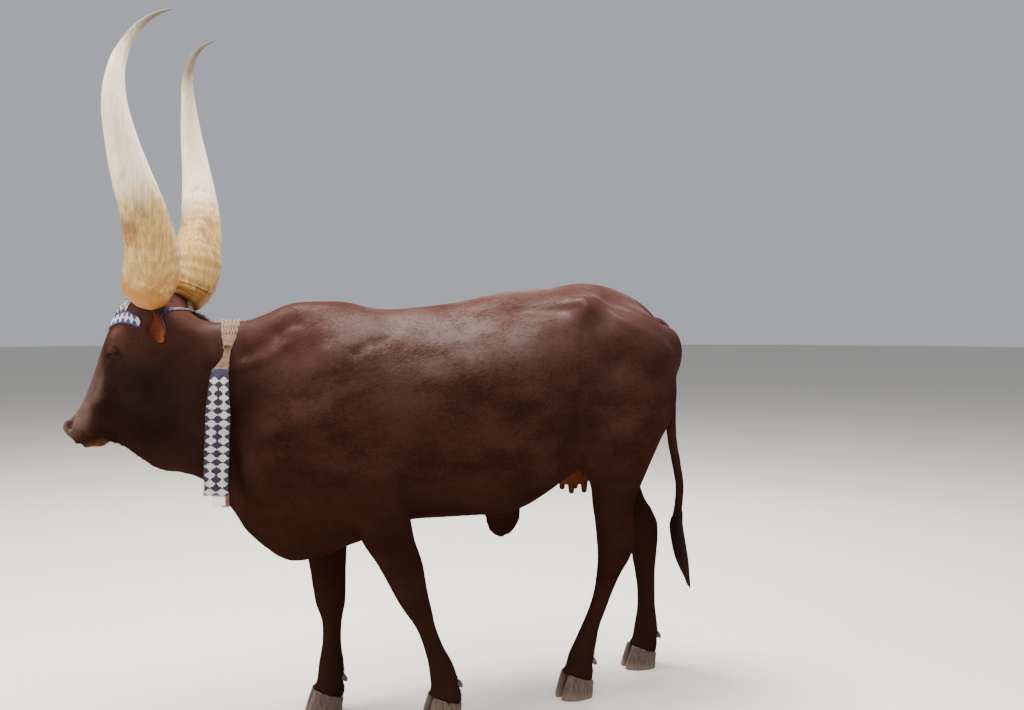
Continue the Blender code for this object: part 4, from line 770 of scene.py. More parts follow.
def hide_skin():
    """The whole skin: forms fused by a voxel skin, softened, refined at the head and pressed."""
    legs = [leg_form(NEAR_FORE, "fore_left"), leg_form(FAR_FORE, "fore_right"),
            leg_form(NEAR_HIND, "hind_left"), leg_form(FAR_HIND, "hind_right")]
    forms = [trunk_form(), neck_form(), dewlap_form(), head_form()] + legs + muscles()
    item = piece("hide", joined(forms), False)
    even = item.modifiers.new("even skin", "REMESH")
    even.mode = "VOXEL"
    even.voxel_size = SKIN_VOXEL
    settle(item)
    points = read(item)
    height = points[:, 2]
    from_face = np.linalg.norm(points - on_face(0.27, -0.06, 0), axis=1)
    broad = np.clip((height - 0.66) / 0.15, 0, 1) * np.clip((from_face - 0.25) / 0.08, 0, 1)
    broad *= 1 - 0.7 * bell(points, [(0.50, -0.13, 0.86), (0.25, -0.02, 0.72)], 0.06)
    broad *= 1 - 0.85 * bell(points, [(-0.61, 0.0, 0.60), (-0.69, 0.0, 0.60)], 0.05)
    relax(item, 60, 0.5 * broad)
    relax(item, 5, 0.5 * np.clip((height - 0.10) / 0.08, 0, 1))
    press(item, mirrored(BODY_STROKES + BRISKET_FOLDS, both_sides) + mirrored(HEAD_STROKES, head_sides)
          + hock_strokes() + rib_strokes() + neck_folds())
    face = [on_face(0.02, -0.04, 0), on_face(0.25, -0.08, 0), on_face(0.49, -0.07, 0)]
    refine(item, reach(read(item), face) < 0.19)
    relax(item, 4, 0.5 * smoothstep(0.21, 0.17, reach(read(item), face)))
    muzzle = [on_face(0.40, -0.07, 0), on_face(0.48, -0.06, 0)]
    refine(item, (reach(read(item), muzzle) < 0.10) | (from_eyes(item) < 0.042))
    close = from_eyes(item)
    from_muzzle = reach(read(item), muzzle)
    relax(item, 3, 0.5 * np.maximum(smoothstep(0.12, 0.09, from_muzzle), smoothstep(0.05, 0.04, close)))
    refine(item, close < 0.036)
    press(item, mirrored(MUZZLE_STROKES + VEINS, head_sides))
    for k in (1, -1):
        shape_lids(item, k)
    depth = COAT_DEPTH * smoothstep(BARE_RIM, BARE_RIM + 0.02, read(item)[:, 2])
    write(item, read(item) - read(item, "normal") * depth[:, None])
    item.data.shade_smooth()
    return item


def skin_tree(item):
    points = [Vector(p) for p in read(item)]
    return BVHTree.FromPolygons(points, [tuple(p.vertices) for p in item.data.polygons])


def touch(tree, origin, way):
    """How far out from an origin the skin lies in a direction."""
    hit = tree.ray_cast(Vector(origin) + Vector(way) * 0.7, -Vector(way), 0.7)
    return 0.0 if hit[0] is None else (hit[0] - Vector(origin)).dot(Vector(way))


def ear_grid(k):
    """A cupped leaf: each station is an outer arc and a shallower inner arc that meet in thin rims,
    the rims waved a little along the ear."""
    ahead, height, side, half, deep = (column(values) for values in smooth_rows(EAR, 8).T)
    centre = beside_head(ahead, height, side * k)
    along = unit(np.gradient(centre, axis=0))
    wide = unit(upward - column(along @ upward) * along)
    back = np.cross(wide, along) * k
    turn = turns(EAR_SIDES)
    outer = np.sin(turn) >= 0
    wall = np.minimum(0.0052, 0.75 * deep)
    bulge = np.where(outer, deep * np.sin(turn), -(deep - wall) * np.sin(turn) - 0.0008)
    wave = 0.0012 * np.sin(column(np.linspace(0, 9, len(deep)))) * np.abs(np.cos(turn)) ** 6
    ridge = np.where(outer, 0, 0.0010 * np.cos(6 * np.cos(turn)) * np.abs(np.sin(turn)))
    spread = np.where(outer, 1.0, 0.94) * np.cos(turn) * half
    lift = bulge + wave + ridge
    return centre[:, None] + spread[..., None] * wide[:, None] + lift[..., None] * back[:, None]


def horn_piece(name, k):
    """Circles square to a rising path. Near the base the radius has growth rings, fading upward,
    and shallow grooves run along the whole horn."""
    height, ahead, side, thick = smooth_rows(HORN, 14).T
    path = beside_head(column(ahead), column(height), column(side * k))
    run = np.concatenate([[0], np.cumsum(np.linalg.norm(np.diff(path, axis=0), axis=1))])
    share = run / run[-1]
    low = 1 - smoothstep(0.18, 0.55, share)
    rings = 0.0010 * low * (np.sin(run * 260 + 2 * np.sin(run * 31)) + 0.6 * np.sin(run * 97))
    radius = thick * 0.985 + rings - 0.0008 * low
    grid = tube(path, radius, radius, heading, HORN_SIDES)
    turn, share_down = turns(HORN_SIDES), column(share)
    groove = 0.0012 * np.sin(turn * 7 + 3 * share_down) + 0.0007 * np.sin(turn * 17 - 5 * share_down)
    depth = groove * column(thick / 0.08) - 0.001
    made = piece(name, closed(grid + unit(grid - path[:, None]) * depth[..., None]))
    remember_rings(made, "share", share)
    return made


def claw_piece(name, foot, k):
    """One claw: half-round outlines from the coronet down to a flat sole, ringed by growth lines."""
    x, y, rim, turn = FEET[foot]
    yaw = math.radians(turn)
    drop, lean, long_half, wide, inset = (column(values) for values in smooth_rows(CLAW, 6).T)
    drop = np.clip(drop, 0, 1)
    lines = 1 + 0.006 * np.sin(drop * 46) * smoothstep(1.0, 0.9, drop)
    turn = turns(CLAW_SIDES)
    ahead = np.cos(turn) * (long_half * lines - 0.0006) + lean
    bulge = np.sign(np.sin(turn)) * np.abs(np.sin(turn)) ** 0.75
    out = CLAW_SPLIT / 2 + inset + wide / 2 + (wide / 2 * lines - 0.0004) * bulge
    out = out * (1 - 0.30 * np.maximum(np.cos(turn), 0) ** 2 * drop) + 0.0012 * drop
    px = x + ahead * math.cos(yaw) - out * k * math.sin(yaw)
    py = y + ahead * math.sin(yaw) + out * k * math.cos(yaw)
    pz = (rim + SOLE_SLOPE * (px - x)) * (1 - drop)
    made = piece(name, closed(np.stack([px, py, pz], -1)))
    remember_rings(made, "share", drop)
    return made


def dewclaw_piece(name, foot, k):
    """A small blunt horn cone leaning down and back: circles that shrink along a short path."""
    x, y, z = FETLOCKS[foot]
    t = np.linspace(0, 1, 12)
    way = unit(np.array([-0.62, 0.14 * k, -0.75]))
    path = np.array([x + 0.008, y + 0.021 * k, z + 0.008]) + t[:, None] * 0.024 * way
    radius = 0.0098 * np.sqrt(np.clip(1 - 0.92 * t ** 2.2, 0, 1)) + 0.0002 * np.sin(t * 40)
    made = piece(name, closed(tube(path, radius, radius * 0.9, sideways, 20)))
    remember_rings(made, "share", t)
    return made


def tail_dock():
    """Circles down the tail, with a low knob at each bone."""
    x, z, radius = smooth_rows(TAIL, 10).T
    knob = 1 + 0.018 * np.sin(np.linspace(0, 2 * np.pi * 15, len(x)))
    path = np.stack([x, 0 * x, z], axis=1)
    return piece("tail_dock", closed(tube(path, radius * 0.96 * knob, radius * 0.94 * knob, sideways, 24)))


def switch_locks():
    """Flat tapered locks round the end of the tail. A lock leaves the tail's side, swells away from the
    middle line, closes on it again and ends in a fine tip that bends its own way."""
    spine = smooth_rows(SWITCH, 6)
    level = np.linspace(0, 1, len(spine))
    t = np.linspace(0, 1, 22)
    grids = []
    for i in range(LOCKS):
        angle = 2.399 * i + chance.normal(0, 0.15)
        start, end = chance.uniform(0.0, 0.34), chance.uniform(0.72, 1.0)
        at = start + (end - start) * t
        ahead, height = (np.interp(at, level, values) for values in spine.T)
        middle = np.stack([ahead, 0 * t, height], axis=1)
        way = np.array([math.cos(angle), math.sin(angle), 0.0])
        across = np.cross(way, upward)
        swell = 0.012 + chance.uniform(0.003, 0.0125) * np.sin(np.pi * np.clip(at * 1.05, 0, 1) ** 0.8)
        close = 1 - 0.85 * smoothstep(0.55, 1.0, at)
        bend = chance.uniform(-0.007, 0.007) * t ** 2
        path = middle + way * (swell * close)[:, None] + across * bend[:, None]
        taper = (1 - t ** 2.4) ** 0.8 * (0.55 + 0.45 * np.sin(np.pi * t))
        width = chance.uniform(0.0050, 0.0085) * taper + 0.0003
        grids.append(tube(path, width * 0.38, width, across, LOCK_SIDES))
    made = piece("switch_locks", copies(np.array(grids)))
    remember(made, "share", np.tile(np.concatenate([np.repeat(t, LOCK_SIDES), [0, 1]]), LOCKS))
    bake_map(made, np.array([grid[0].mean(axis=0) for grid in grids]))
    return made


def bake_map(item, roots):
    """Gives every tuft a patch 0.003 across on OFBake, at its root's place on an unwrap of the skin
    into its left and right halves: length along the body, then height."""
    each = len(item.data.vertices) // len(roots)
    spot = np.stack([(roots[:, 0] + 1.45) / 2.2 * 0.48 + np.where(roots[:, 1] < 0, 0.51, 0.01),
                     np.clip(roots[:, 2] / 2.2, 0, 0.98) + 0.01], axis=1)
    corner = np.empty(len(item.data.loops), dtype=np.int64)
    item.data.loops.foreach_get("vertex_index", corner)
    inside = corner % each
    local = np.stack([np.cos(inside * 2.4), np.sin(inside * 2.4)], axis=1) * 0.0015 * (inside / each)[:, None]
    layer = item.data.uv_layers.new(name="OFBake")
    layer.data.foreach_set("uv", (spot[corner // each] + local).astype(np.float32).ravel())


def hair_lie(points):
    """The way the coat lies: down the face, back and down along the body, down the legs."""
    down_face = [on_face(0.05, -0.04, 0), on_face(0.45, -0.07, 0)]
    on_head = column(smoothstep(0.30, 0.22, reach(points, down_face)))
    on_leg = column(smoothstep(0.70, 0.60, points[:, 2]))
    body = np.array([-0.9, 0.0, -0.35])
    leg = np.array([-0.15, 0.0, -1.0])
    return unit(on_head * face_down + (1 - on_head) * (on_leg * leg + (1 - on_leg) * body))


def bristles(path, size, first, second):
    """Three-cornered outlines along each path, by its size at each point, in two directions."""
    turn = turns(3)[0][:, None]
    return path[:, :, None] + size[..., None] * (np.cos(turn) * first + np.sin(turn) * second)


def tufts(name, roots, normals, lie, length, width, rise):
    """Fine bent blades. Point t of a blade is its root, sunk a little, plus the normal times a low
    arch and the lie times its length; three-cornered outlines shrink to the tip."""
    count = len(roots)
    t = np.linspace(0, 1, 5)[None, :, None]
    length = (length * chance.uniform(0.7, 1.25, count))[:, None, None]
    normals, lie = unit(normals), unit(lie + chance.normal(0, 0.16, (count, 3)))
    lie = unit(lie - (lie * normals).sum(axis=1, keepdims=True) * normals)
    rise = rise * chance.uniform(0.5, 1.4, count)[:, None, None]
    path = (roots[:, None] - normals[:, None] * 0.0012 + lie[:, None] * length * (t * 0.85 + 0.15 * t ** 2)
            + normals[:, None] * length * rise * (1 - (1 - t) ** 2))
    across = np.cross(lie, normals)[:, None, None]
    grids = bristles(path, width * (1 - 0.93 * t ** 1.5), across, 0.45 * normals[:, None, None])
    made = piece(name, copies(grids))
    bake_map(made, roots)
    return made


def pick(points, weight, count):
    """Random point numbers, drawn by weight."""
    return chance.choice(len(points), size=min(count, int((weight > 1e-3).sum())), replace=False,
                         p=weight / weight.sum())


def coat_tufts(skin):
    """Tufts where the coat breaks the form: poll, throat and brisket edge, belly, fetlocks, coronets."""
    points, normals = read(skin), read(skin, "normal")
    x, y, z = points.T
    lie = hair_lie(points)
    crown = bell(points, [on_face(-0.01, 0.035, -0.05), on_face(-0.01, 0.035, 0.05)], 0.035)
    seat = np.max([bell(points, [beside_head(0.02, 1.338, 0.100 * k)], 0.022) for k in (1, -1)], axis=0)
    coronet, back = np.zeros(len(points)), np.zeros(len(points))
    for foot in FEET:
        fx, fy, rim = FEET[foot][:3]
        near = np.hypot(x - fx, y - fy) < 0.075
        above = z - rim - SOLE_SLOPE * (x - fx)
        coronet = np.maximum(coronet, near * np.exp(-((above - 0.006) / 0.006) ** 2))
        gx, gy, gz = FETLOCKS[foot]
        back = np.maximum(back, bell(points, [(gx - 0.004, gy, gz + 0.004)], 0.017))
    edge = (normals[:, 2] < -0.55) * smoothstep(-0.25, -0.05, x) * (z < 0.93) * (z > 0.5)
    belly = (normals[:, 2] < -0.75) * (np.abs(y) < 0.05) * (z > 0.55) * (z < 0.72) * (x < -0.2) * (x > -0.85)
    chin = bell(points, [on_face(0.40, -0.150, 0), on_face(0.46, -0.135, 0)], 0.03)
    made = []
    for name, weight, count, length, width, rise, way in (
            ("poll_tufts", crown, 900, 0.020, 0.0011, 0.35, face_down + 0.4 * face_out),
            ("horn_seat_tufts", seat, 500, 0.012, 0.0009, 0.35, upward),
            ("coronet_tufts", coronet, 1500, 0.013, 0.0009, 0.10, -upward),
            ("fetlock_tufts", back, 700, 0.016, 0.0010, 0.30, -upward - 0.3 * forward),
            ("edge_tufts", edge, 1500, 0.010, 0.0009, 0.30, lie),
            ("belly_tufts", belly, 700, 0.012, 0.0010, 0.30, lie),
            ("chin_tufts", chin, 500, 0.009, 0.0006, 0.50, lie)):
        chosen = pick(points, weight, count)
        toward = np.broadcast_to(way, points.shape)[chosen]
        made.append(tufts(name, points[chosen], normals[chosen], toward, length, width, rise))
    return made


def ear_hair(grid, k):
    """Long soft hairs along the rims and inside the cup of an ear."""
    along = unit(np.gradient(grid, axis=0))
    around = np.roll(grid, -1, axis=1) - np.roll(grid, 1, axis=1)
    normals = unit(np.cross(around, along))
    inward = normals * np.sign((normals * (grid - grid.mean(axis=1, keepdims=True))).sum(-1, keepdims=True))
    i = chance.integers(6, len(grid) - 2, 620)
    j = np.concatenate([chance.choice([0, 1, 47, 23, 24, 25], 380), chance.integers(27, 45, 240)])
    out = np.where((j > 26)[:, None] & (j < 46)[:, None], -inward[i, j], inward[i, j])
    lie = along[i, j] + 0.5 * unit(grid[i, j] - grid[i].mean(axis=1))
    return tufts("ear_hair_" + SIDES[k], grid[i, j], out, lie, 0.013, 0.0006, 0.35)


def lashes(k):
    """Curved hairs that leave the upper lid's rim outward and down, then up at the tip."""
    centre, axis, slit, lift = eye_frame(k)
    x = np.linspace(-0.85, 0.85, 46)
    y = LID_LINE - LID_DROOP * (1 - (x / LID_REACH) ** 2) + 0.03
    way = unit(axis + column(np.tan(x)) * slit + column(np.tan(y)) * lift)
    t = np.linspace(0, 1, 6)[None, :, None]
    root = centre + way * (EYE_RADIUS + 0.001)
    fan = unit(way - 0.75 * lift + 0.35 * column(x) * slit)
    path = root[:, None] + 0.014 * t * fan[:, None] + 0.005 * t ** 2 * lift
    made = piece("lashes_" + SIDES[k], copies(bristles(path, 0.00045 * (1 - 0.85 * t), slit, lift)))
    bake_map(made, root)
    return made


def eyeball(name, k):
    """A sphere round the axis of sight, a little proud over the iris."""
    centre, axis = eye_frame(k, 0.25)[:2]
    first = unit(np.cross(axis, upward))
    second = np.cross(axis, first)
    rise = np.linspace(0.02, np.pi - 0.02, 40)[:, None, None]
    turn = turns(48)[..., None]
    radius = EYE_RADIUS - 0.0006 + 0.0010 * np.exp(-(rise / 0.50) ** 2)
    rim = np.cos(turn) * first + np.sin(turn) * second
    made = piece(name, closed(centre + radius * (np.cos(rise) * axis + np.sin(rise) * rim)))
    remember_rings(made, "iris", rise, (0, np.pi))
    return made


def teats():
    """Four short tapering tubes with rounded ends under the udder."""
    shapes = []
    for x, y, low in ((-0.890, 0.036, 0.694), (-0.890, -0.036, 0.697),
                      (-0.940, 0.034, 0.694), (-0.940, -0.034, 0.697)):
        rows = [(0.750, 0.0165), (0.735, 0.0135), (low + 0.018, 0.0105), (low + 0.004, 0.0085), (low, 0.0035)]
        z, radius = smooth_rows(rows, 4).T
        path = np.stack([0 * z + x, y * (1.04 + 0.4 * (0.735 - z)), z], axis=1)
        shapes.append(closed(ovals(path, sideways, forward, radius, radius, radius, 2.0, count=20)))
    return piece("teats", joined(shapes))


def strap(tree, centre, first, second, along, angles, half, slide, rows):
    """A grid on the skin round a form: for each angle and each row across the strap the place where
    a ray from the centre line meets the skin, with the ray's direction."""
    ways = np.cos(angles)[:, None] * first + np.sin(angles)[:, None] * second
    part = np.linspace(-1, 1, rows)
    base = np.asarray(centre) + (slide[:, None] + half * part)[..., None] * np.asarray(along)
    far = np.array([[touch(tree, base[i, j], ways[i]) for j in range(rows)] for i in range(len(angles))])
    for _ in range(2):
        far[1:-1] = np.maximum(far[1:-1], (far[:-2] + far[2:]) / 2)
    return base + far[..., None] * ways[:, None], np.broadcast_to(ways[:, None], base.shape)


def slab(name, grid, outward, low, high):
    """A closed sheet over a grid from low to high along outward."""
    ring = np.concatenate([grid + outward * low, (grid + outward * high)[:, ::-1]], axis=1)
    return piece(name, closed(ring))


def bead_piece(name, places, across, out, size):
    """Small barrels threaded across: circles whose radius bulges in the middle, at each place."""
    t = column([-0.46, -0.24, 0.24, 0.46])[:, None]
    radius = column([0.30, 0.50, 0.50, 0.30])[:, None]
    turn = turns(6)[0][:, None]
    third = np.cross(across, out)
    places, across, out, third = (values[:, None, None] for values in (places, across, out, third))
    grids = places + size * (t * across + radius * (np.cos(turn) * out + np.sin(turn) * third))
    return piece(name, copies(grids))


def bead_sheet(name, grid, outward, size, pattern):
    """Beads over a grid of places, one piece for each number of the pattern, in their order."""
    across = unit(np.gradient(grid, axis=1))
    out = unit(outward - (outward * across).sum(-1, keepdims=True) * across)
    made = []
    for tone in np.unique(pattern):
        here = pattern == tone
        places = grid[here] + out[here] * size * 0.4
        made.append(bead_piece(name + "_" + "ab"[tone], places, across[here], out[here], size))
    return made


def brow_strap(tree, count, end, half, rise, rows):
    """A strap round the brow that rises towards both sides, and the numbers of its rows and columns."""
    angles = np.radians(np.linspace(-end, end, count))
    slide = 0.022 * np.sin(1.5 * angles) ** 2 + rise
    centre = beside_head(0.045, 1.292, 0.0)
    grid, out = strap(tree, centre, heading, leftward, upward, angles, half, slide, rows)
    i, j = np.meshgrid(np.arange(count), np.arange(rows), indexing="ij")
    return grid, out, i, j


def headband(tree):
    """A beaded strap round the brow: white lozenges on blue between blue edges."""
    grid, out, i, j = brow_strap(tree, 108, 94, 0.0155, -0.014, 11)
    lozenge = np.abs((i + 3) % 7 - 3) / 3.4 + np.abs(j - 5) / 4.3 < 1
    made = bead_sheet("headband_beads", grid + out * 0.0012, out, BEAD, lozenge.astype(int))
    return slab("headband_cloth", grid, out, -0.003, 0.0014), made


def forehead_plaque(tree):
    """A stiff bead cloth over the forehead: nested white lozenges on black, with white side borders."""
    grid, out, i, j = brow_strap(tree, 53, 58, 0.0235, 0.031, 17)
    nested = (np.abs((i + 1) % 18 - 9) * 0.95 + np.abs(j - 8)) % 4.6 < 1.55
    border = (i < 2) | (i > len(grid) - 3)
    made = bead_sheet("plaque_beads", grid + out * 0.0016, out, BEAD, (nested | border).astype(int))
    return slab("plaque_cloth", grid, out, -0.003, 0.0018), made


def nape_cord(tree):
    """Strings of beads behind the horns, over the nape, as a beaded roll."""
    count = 66
    angles = np.radians(np.linspace(35, 145, count))
    lean = math.radians(40)
    rise = math.cos(lean) * upward - math.sin(lean) * heading
    centre, along = beside_head(0.037, 1.230, 0.0), np.cross(leftward, rise)
    grid, out = strap(tree, centre, leftward, rise, along, angles, 0.0046, np.zeros(count), 4)
    made = bead_sheet("cord_beads", grid + out * 0.0012, out, BEAD, np.zeros(grid.shape[:2], dtype=int))
    return slab("cord_thread", grid, out, -0.002, 0.0012), made


def taut(angles, radii):
    """The loop a taut strap makes round a form: the hull of its radii about the centre."""
    facing = np.cos(angles[:, None] - angles[None, :])
    support = np.max(radii[None, :] * facing, axis=1)
    return np.where(facing > 0.05, support[None, :] / np.maximum(facing, 0.05), 9.0).min(axis=1)


def neck_loop(tree):
    """The taut loop of the tie: its angles, directions, centres, distance from them, half width,
    the way along the neck and the way to the left of it."""
    way = np.array([math.cos(math.radians(-12)), math.sin(math.radians(-12)), 0])
    left = np.array([-way[1], way[0], 0])
    centre = np.array([0.236, -0.022, 1.030])
    degrees = np.arange(0, 360, LOOP_STEP)
    angles = np.radians(degrees)
    off = np.abs(degrees - 95)
    half = 0.009 + 0.022 * np.clip(1 - (off / 30) ** 2, 0, 1) + 0.003 * np.clip((off - 45) / 20, 0, 1)
    centres = centre + way * column(0.022 * np.minimum(1.0, off / 70) ** 2)
    ways = np.cos(angles)[:, None] * left + np.sin(angles)[:, None] * upward
    skin = np.array([max(touch(tree, middle + way * wide * part, out) for part in (-1, 0, 1))
                     for middle, wide, out in zip(centres, half, ways)])
    return angles, ways, centres, taut(angles, skin), half, way, left


def twisted(path, radius, winds, side):
    """Two strands that wind round a path, each a thin tube at half the radius."""
    ahead = unit(np.gradient(path, axis=0))
    across = unit(np.cross(ahead, side))
    up = np.cross(ahead, across)
    shapes = []
    for start in (0.0, 0.5):
        turn = 2 * np.pi * column(start + winds * np.linspace(0, 1, len(path)))
        centre = path + radius * 0.52 * (np.cos(turn) * across + np.sin(turn) * up)
        shapes.append(closed(tube(centre, radius * 0.55, radius * 0.55, across[0], 6)))
    return shapes


def neck_tie(tree):
    """Plant fibre cords laid side by side over the crest and drawn together under two turns of
    binding. The cords close the loop round the neck."""
    angles, ways, centres, radii, half, way, left = neck_loop(tree)
    turn = np.linspace(KNOT_TURN - 0.02, KNOT_TURN + 2 * np.pi + 0.02, 220)
    loop = np.column_stack([centres, ways, radii, half])
    at = np.stack([np.interp(turn, angles, values, period=2 * np.pi) for values in loop.T], axis=1)
    base, out, far, spread = at[:, :3], unit(at[:, 3:6]), at[:, 6], at[:, 7]
    shapes = []
    for i in range(15):
        part = -0.94 + 1.88 * i / 14
        side = spread * part + 0.0009 * np.sin(turn * 14 + i * 2)
        lift = far + 0.0022 + 0.0018 * ((i * 5) % 3) + 0.0004 * np.sin(turn * 9 + i)
        thick = 0.0021 + 0.0006 * chance.random()
        shapes += twisted(base + way * column(side) + out * column(lift), thick, 36, way)
    knot_way = math.cos(KNOT_TURN) * left + math.sin(KNOT_TURN) * upward
    knot = centres[KNOT_DEGREES // LOOP_STEP] + knot_way * (np.interp(KNOT_TURN, angles, radii) + 0.004)
    down = unit(np.cross(knot_way, way))
    down = down if down[2] < 0 else -down
    ring = column(np.linspace(0, 2 * np.pi, 41))
    for level in (-0.016, -0.012, 0.000, 0.004, 0.008):
        drop = level + ring / 2 / np.pi * 0.0035
        path = knot + down * drop + np.cos(ring) * 0.0118 * way + np.sin(ring) * 0.0080 * knot_way
        shapes += twisted(path, 0.0021, 9, knot_way)
    return shapes, knot


def strip_half(z):
    """Half width of the hanging panel at a height: narrow where it is gathered, then even."""
    part = np.clip((STRIP_TOP - z) / STRIP_LENGTH, 0, 1)
    return 0.0225 + 0.0135 * np.clip(part / 0.34, 0, 1) ** 0.8


def panel_grid(tree, levels, columns, far=0.0):
    """Places on the hanging panel, row by row down from its top: plumb from the widest skin above."""
    grid = []
    for z in levels:
        part = min(max((STRIP_TOP - z) / STRIP_LENGTH, 0.0), 1.0)
        base = np.array([0.241 + 0.013 * part, 0.0, z])
        wide = PANEL_WIDE * strip_half(z)
        skin = [touch(tree, base + wide * across, PANEL_OUT) for across in (-1, -0.5, 0, 0.5, 1)]
        far = max(far, max(skin) + 0.0085)
        grid.append(base + PANEL_OUT * (far + 0.0026) + wide * column(np.linspace(-1, 1, columns)))
    return np.array(grid), np.broadcast_to(PANEL_OUT, (len(levels), columns, 3)), far


def neck_panel(tree):
    """A hanging bead cloth, two columns of fourteen white lozenges on navy, under a plain navy top."""
    columns = 24
    levels = np.linspace(STRIP_TOP - 0.001, STRIP_TOP - STRIP_LENGTH + 0.001, 122)
    grid, out, far = panel_grid(tree, levels, columns)
    i, j = np.meshgrid(np.arange(len(levels)), np.arange(columns), indexing="ij")
    tall = (len(levels) - 7) / 14
    lozenge = (np.abs((i - 7) % tall - tall / 2) / (tall / 2) + np.abs(j % 12 - 5.5) / 5.9 < 1) & (i >= 7)
    made = bead_sheet("panel_beads", grid, out, BEAD * 0.98, lozenge.astype(int))
    cloth = slab("panel_cloth", grid[::3, ::2], out[::3, ::2], -0.0022, 0.0004)
    hem_levels = np.linspace(STRIP_TOP - STRIP_LENGTH - 0.0008, STRIP_TOP - STRIP_LENGTH - 0.0295, 14)
    hem, hem_out = panel_grid(tree, hem_levels, 21, far)[:2]
    ripple = 0.0007 * np.sin(np.linspace(0, 15, 21)) * column(np.linspace(0, 1, 14))
    narrower = (hem - hem.mean(axis=1, keepdims=True)) * (20 / 36 - 1)
    hem = hem + narrower - PANEL_WIDE * 0.008 + hem_out * (ripple - 0.0006)[..., None]
    return cloth, made, slab("panel_hem_cloth", hem, hem_out, -0.0008, 0.0006), grid


def tie_tails(grid, knot):
    """Fibre cords from the knot down to the top edge of the panel, fanned out evenly."""
    shapes = []
    top = grid[0]
    t = column(np.linspace(0, 1, 30))
    for i in range(11):
        goal = top[int(round((len(top) - 1) * (i + 0.5) / 11))] + np.array([0, 0, -0.004])
        narrow = knot + (goal - knot) * 0.30 + (top.mean(axis=0) - goal) * 0.62
        path = (1 - t) ** 2 * knot + 2 * t * (1 - t) * narrow + t ** 2 * goal
        shapes += twisted(path + PANEL_OUT * (0.0008 * (i % 2)), 0.0020, 5, PANEL_OUT)
    return shapes


def add(tree, kind, inputs=(), **settings):
    """A shader node with its settings, each input given a value or linked from a socket."""
    made = tree.nodes.new(kind)
    for name, value in settings.items():
        setattr(made, name, value)
    for name, value in dict(inputs).items():
        if isinstance(value, bpy.types.NodeSocket):
            tree.links.new(value, made.inputs[name])
        else:
            made.inputs[name].default_value = value
    return made


def colour(tone):
    return (*tone, 1.0) if len(tone) == 3 else tone


def blend(tree, share, first, second, how="MIX"):
    """Mixes two colours, each a value or a socket, by a share."""
    mix = add(tree, "ShaderNodeMix", data_type="RGBA", blend_type=how)
    for socket, value in ((mix.inputs[0], share), (mix.inputs[6], first), (mix.inputs[7], second)):
        if isinstance(value, bpy.types.NodeSocket):
            tree.links.new(value, socket)
        else:
            socket.default_value = value if isinstance(value, float) else colour(value)
    return mix.outputs[2]


def maths(tree, how, first, second=0.0):
    return add(tree, "ShaderNodeMath", {0: first, 1: second}, operation=how).outputs[0]


def span(tree, value, low, high, to_low=0.0, to_high=1.0):
    """A value mapped smoothly from one span to another."""
    inputs = {"Value": value, "From Min": low, "From Max": high, "To Min": to_low, "To Max": to_high}
    return add(tree, "ShaderNodeMapRange", inputs, interpolation_type="SMOOTHSTEP").outputs[0]


def here(tree):
    return add(tree, "ShaderNodeTexCoord").outputs["Object"]


def stretched(tree, scale, turn=(0.0, 0.0, 0.0)):
    """Object coordinates turned and scaled by axis."""
    turned = add(tree, "ShaderNodeMapping", {"Vector": here(tree), "Rotation": turn}, vector_type="TEXTURE")
    return add(tree, "ShaderNodeMapping", {"Vector": turned.outputs[0], "Scale": scale}).outputs[0]


def noise(tree, stretch, detail=3.0, rough=0.55, turn=(0.0, 0.0, 0.0)):
    """Cloudy noise over object coordinates, finer where the stretch of an axis is larger."""
    place = stretched(tree, stretch, turn)
    inputs = {"Vector": place, "Scale": 1.0, "Detail": detail, "Roughness": rough}
    return add(tree, "ShaderNodeTexNoise", inputs).outputs["Fac"]


def near(tree, place, start, end, *values):
    """A share from none to all, or from one value to another, between two distances from a place of
    the animal's own frame."""
    goal = tuple(float(value) for value in np.asarray(place) + shift)
    distance = add(tree, "ShaderNodeVectorMath", {0: here(tree), 1: goal}, operation="DISTANCE")
    return span(tree, distance.outputs["Value"], start, end, *values)


def kept(tree, name):
    """A number kept on the points of a piece."""
    return add(tree, "ShaderNodeAttribute", attribute_name=name).outputs["Fac"]


def by_height(tree, start, end, *values):
    """A share from none to all, or from one value to another, between two heights."""
    return span(tree, add(tree, "ShaderNodeSeparateXYZ", {0: here(tree)}).outputs["Z"], start, end, *values)


def red(tree, tone):
    return add(tree, "ShaderNodeSeparateColor", {0: tone}).outputs["Red"]


def tint(tree, base, *layers):
    """A colour with layers over it, each a share, its strength and its colour."""
    for share, strength, tone in layers:
        base = blend(tree, maths(tree, "MULTIPLY", share, strength), base, tone)
    return base


def paint(tree, surface, **sockets):
    """Links sockets to inputs of a material's surface."""
    for label, socket in sockets.items():
        tree.links.new(socket, surface.inputs[label.replace("_", " ")])


def group(name, outputs):
    """An empty shader group with named outputs."""
    made = bpy.data.node_groups.new(name, "ShaderNodeTree")
    for label, kind in outputs:
        made.interface.new_socket(label, in_out="OUTPUT", socket_type=kind)
    return made


def finish_group(made, **results):
    end = made.nodes.new("NodeGroupOutput")
    for label, socket in results.items():
        made.links.new(socket, end.inputs[label])
    return made


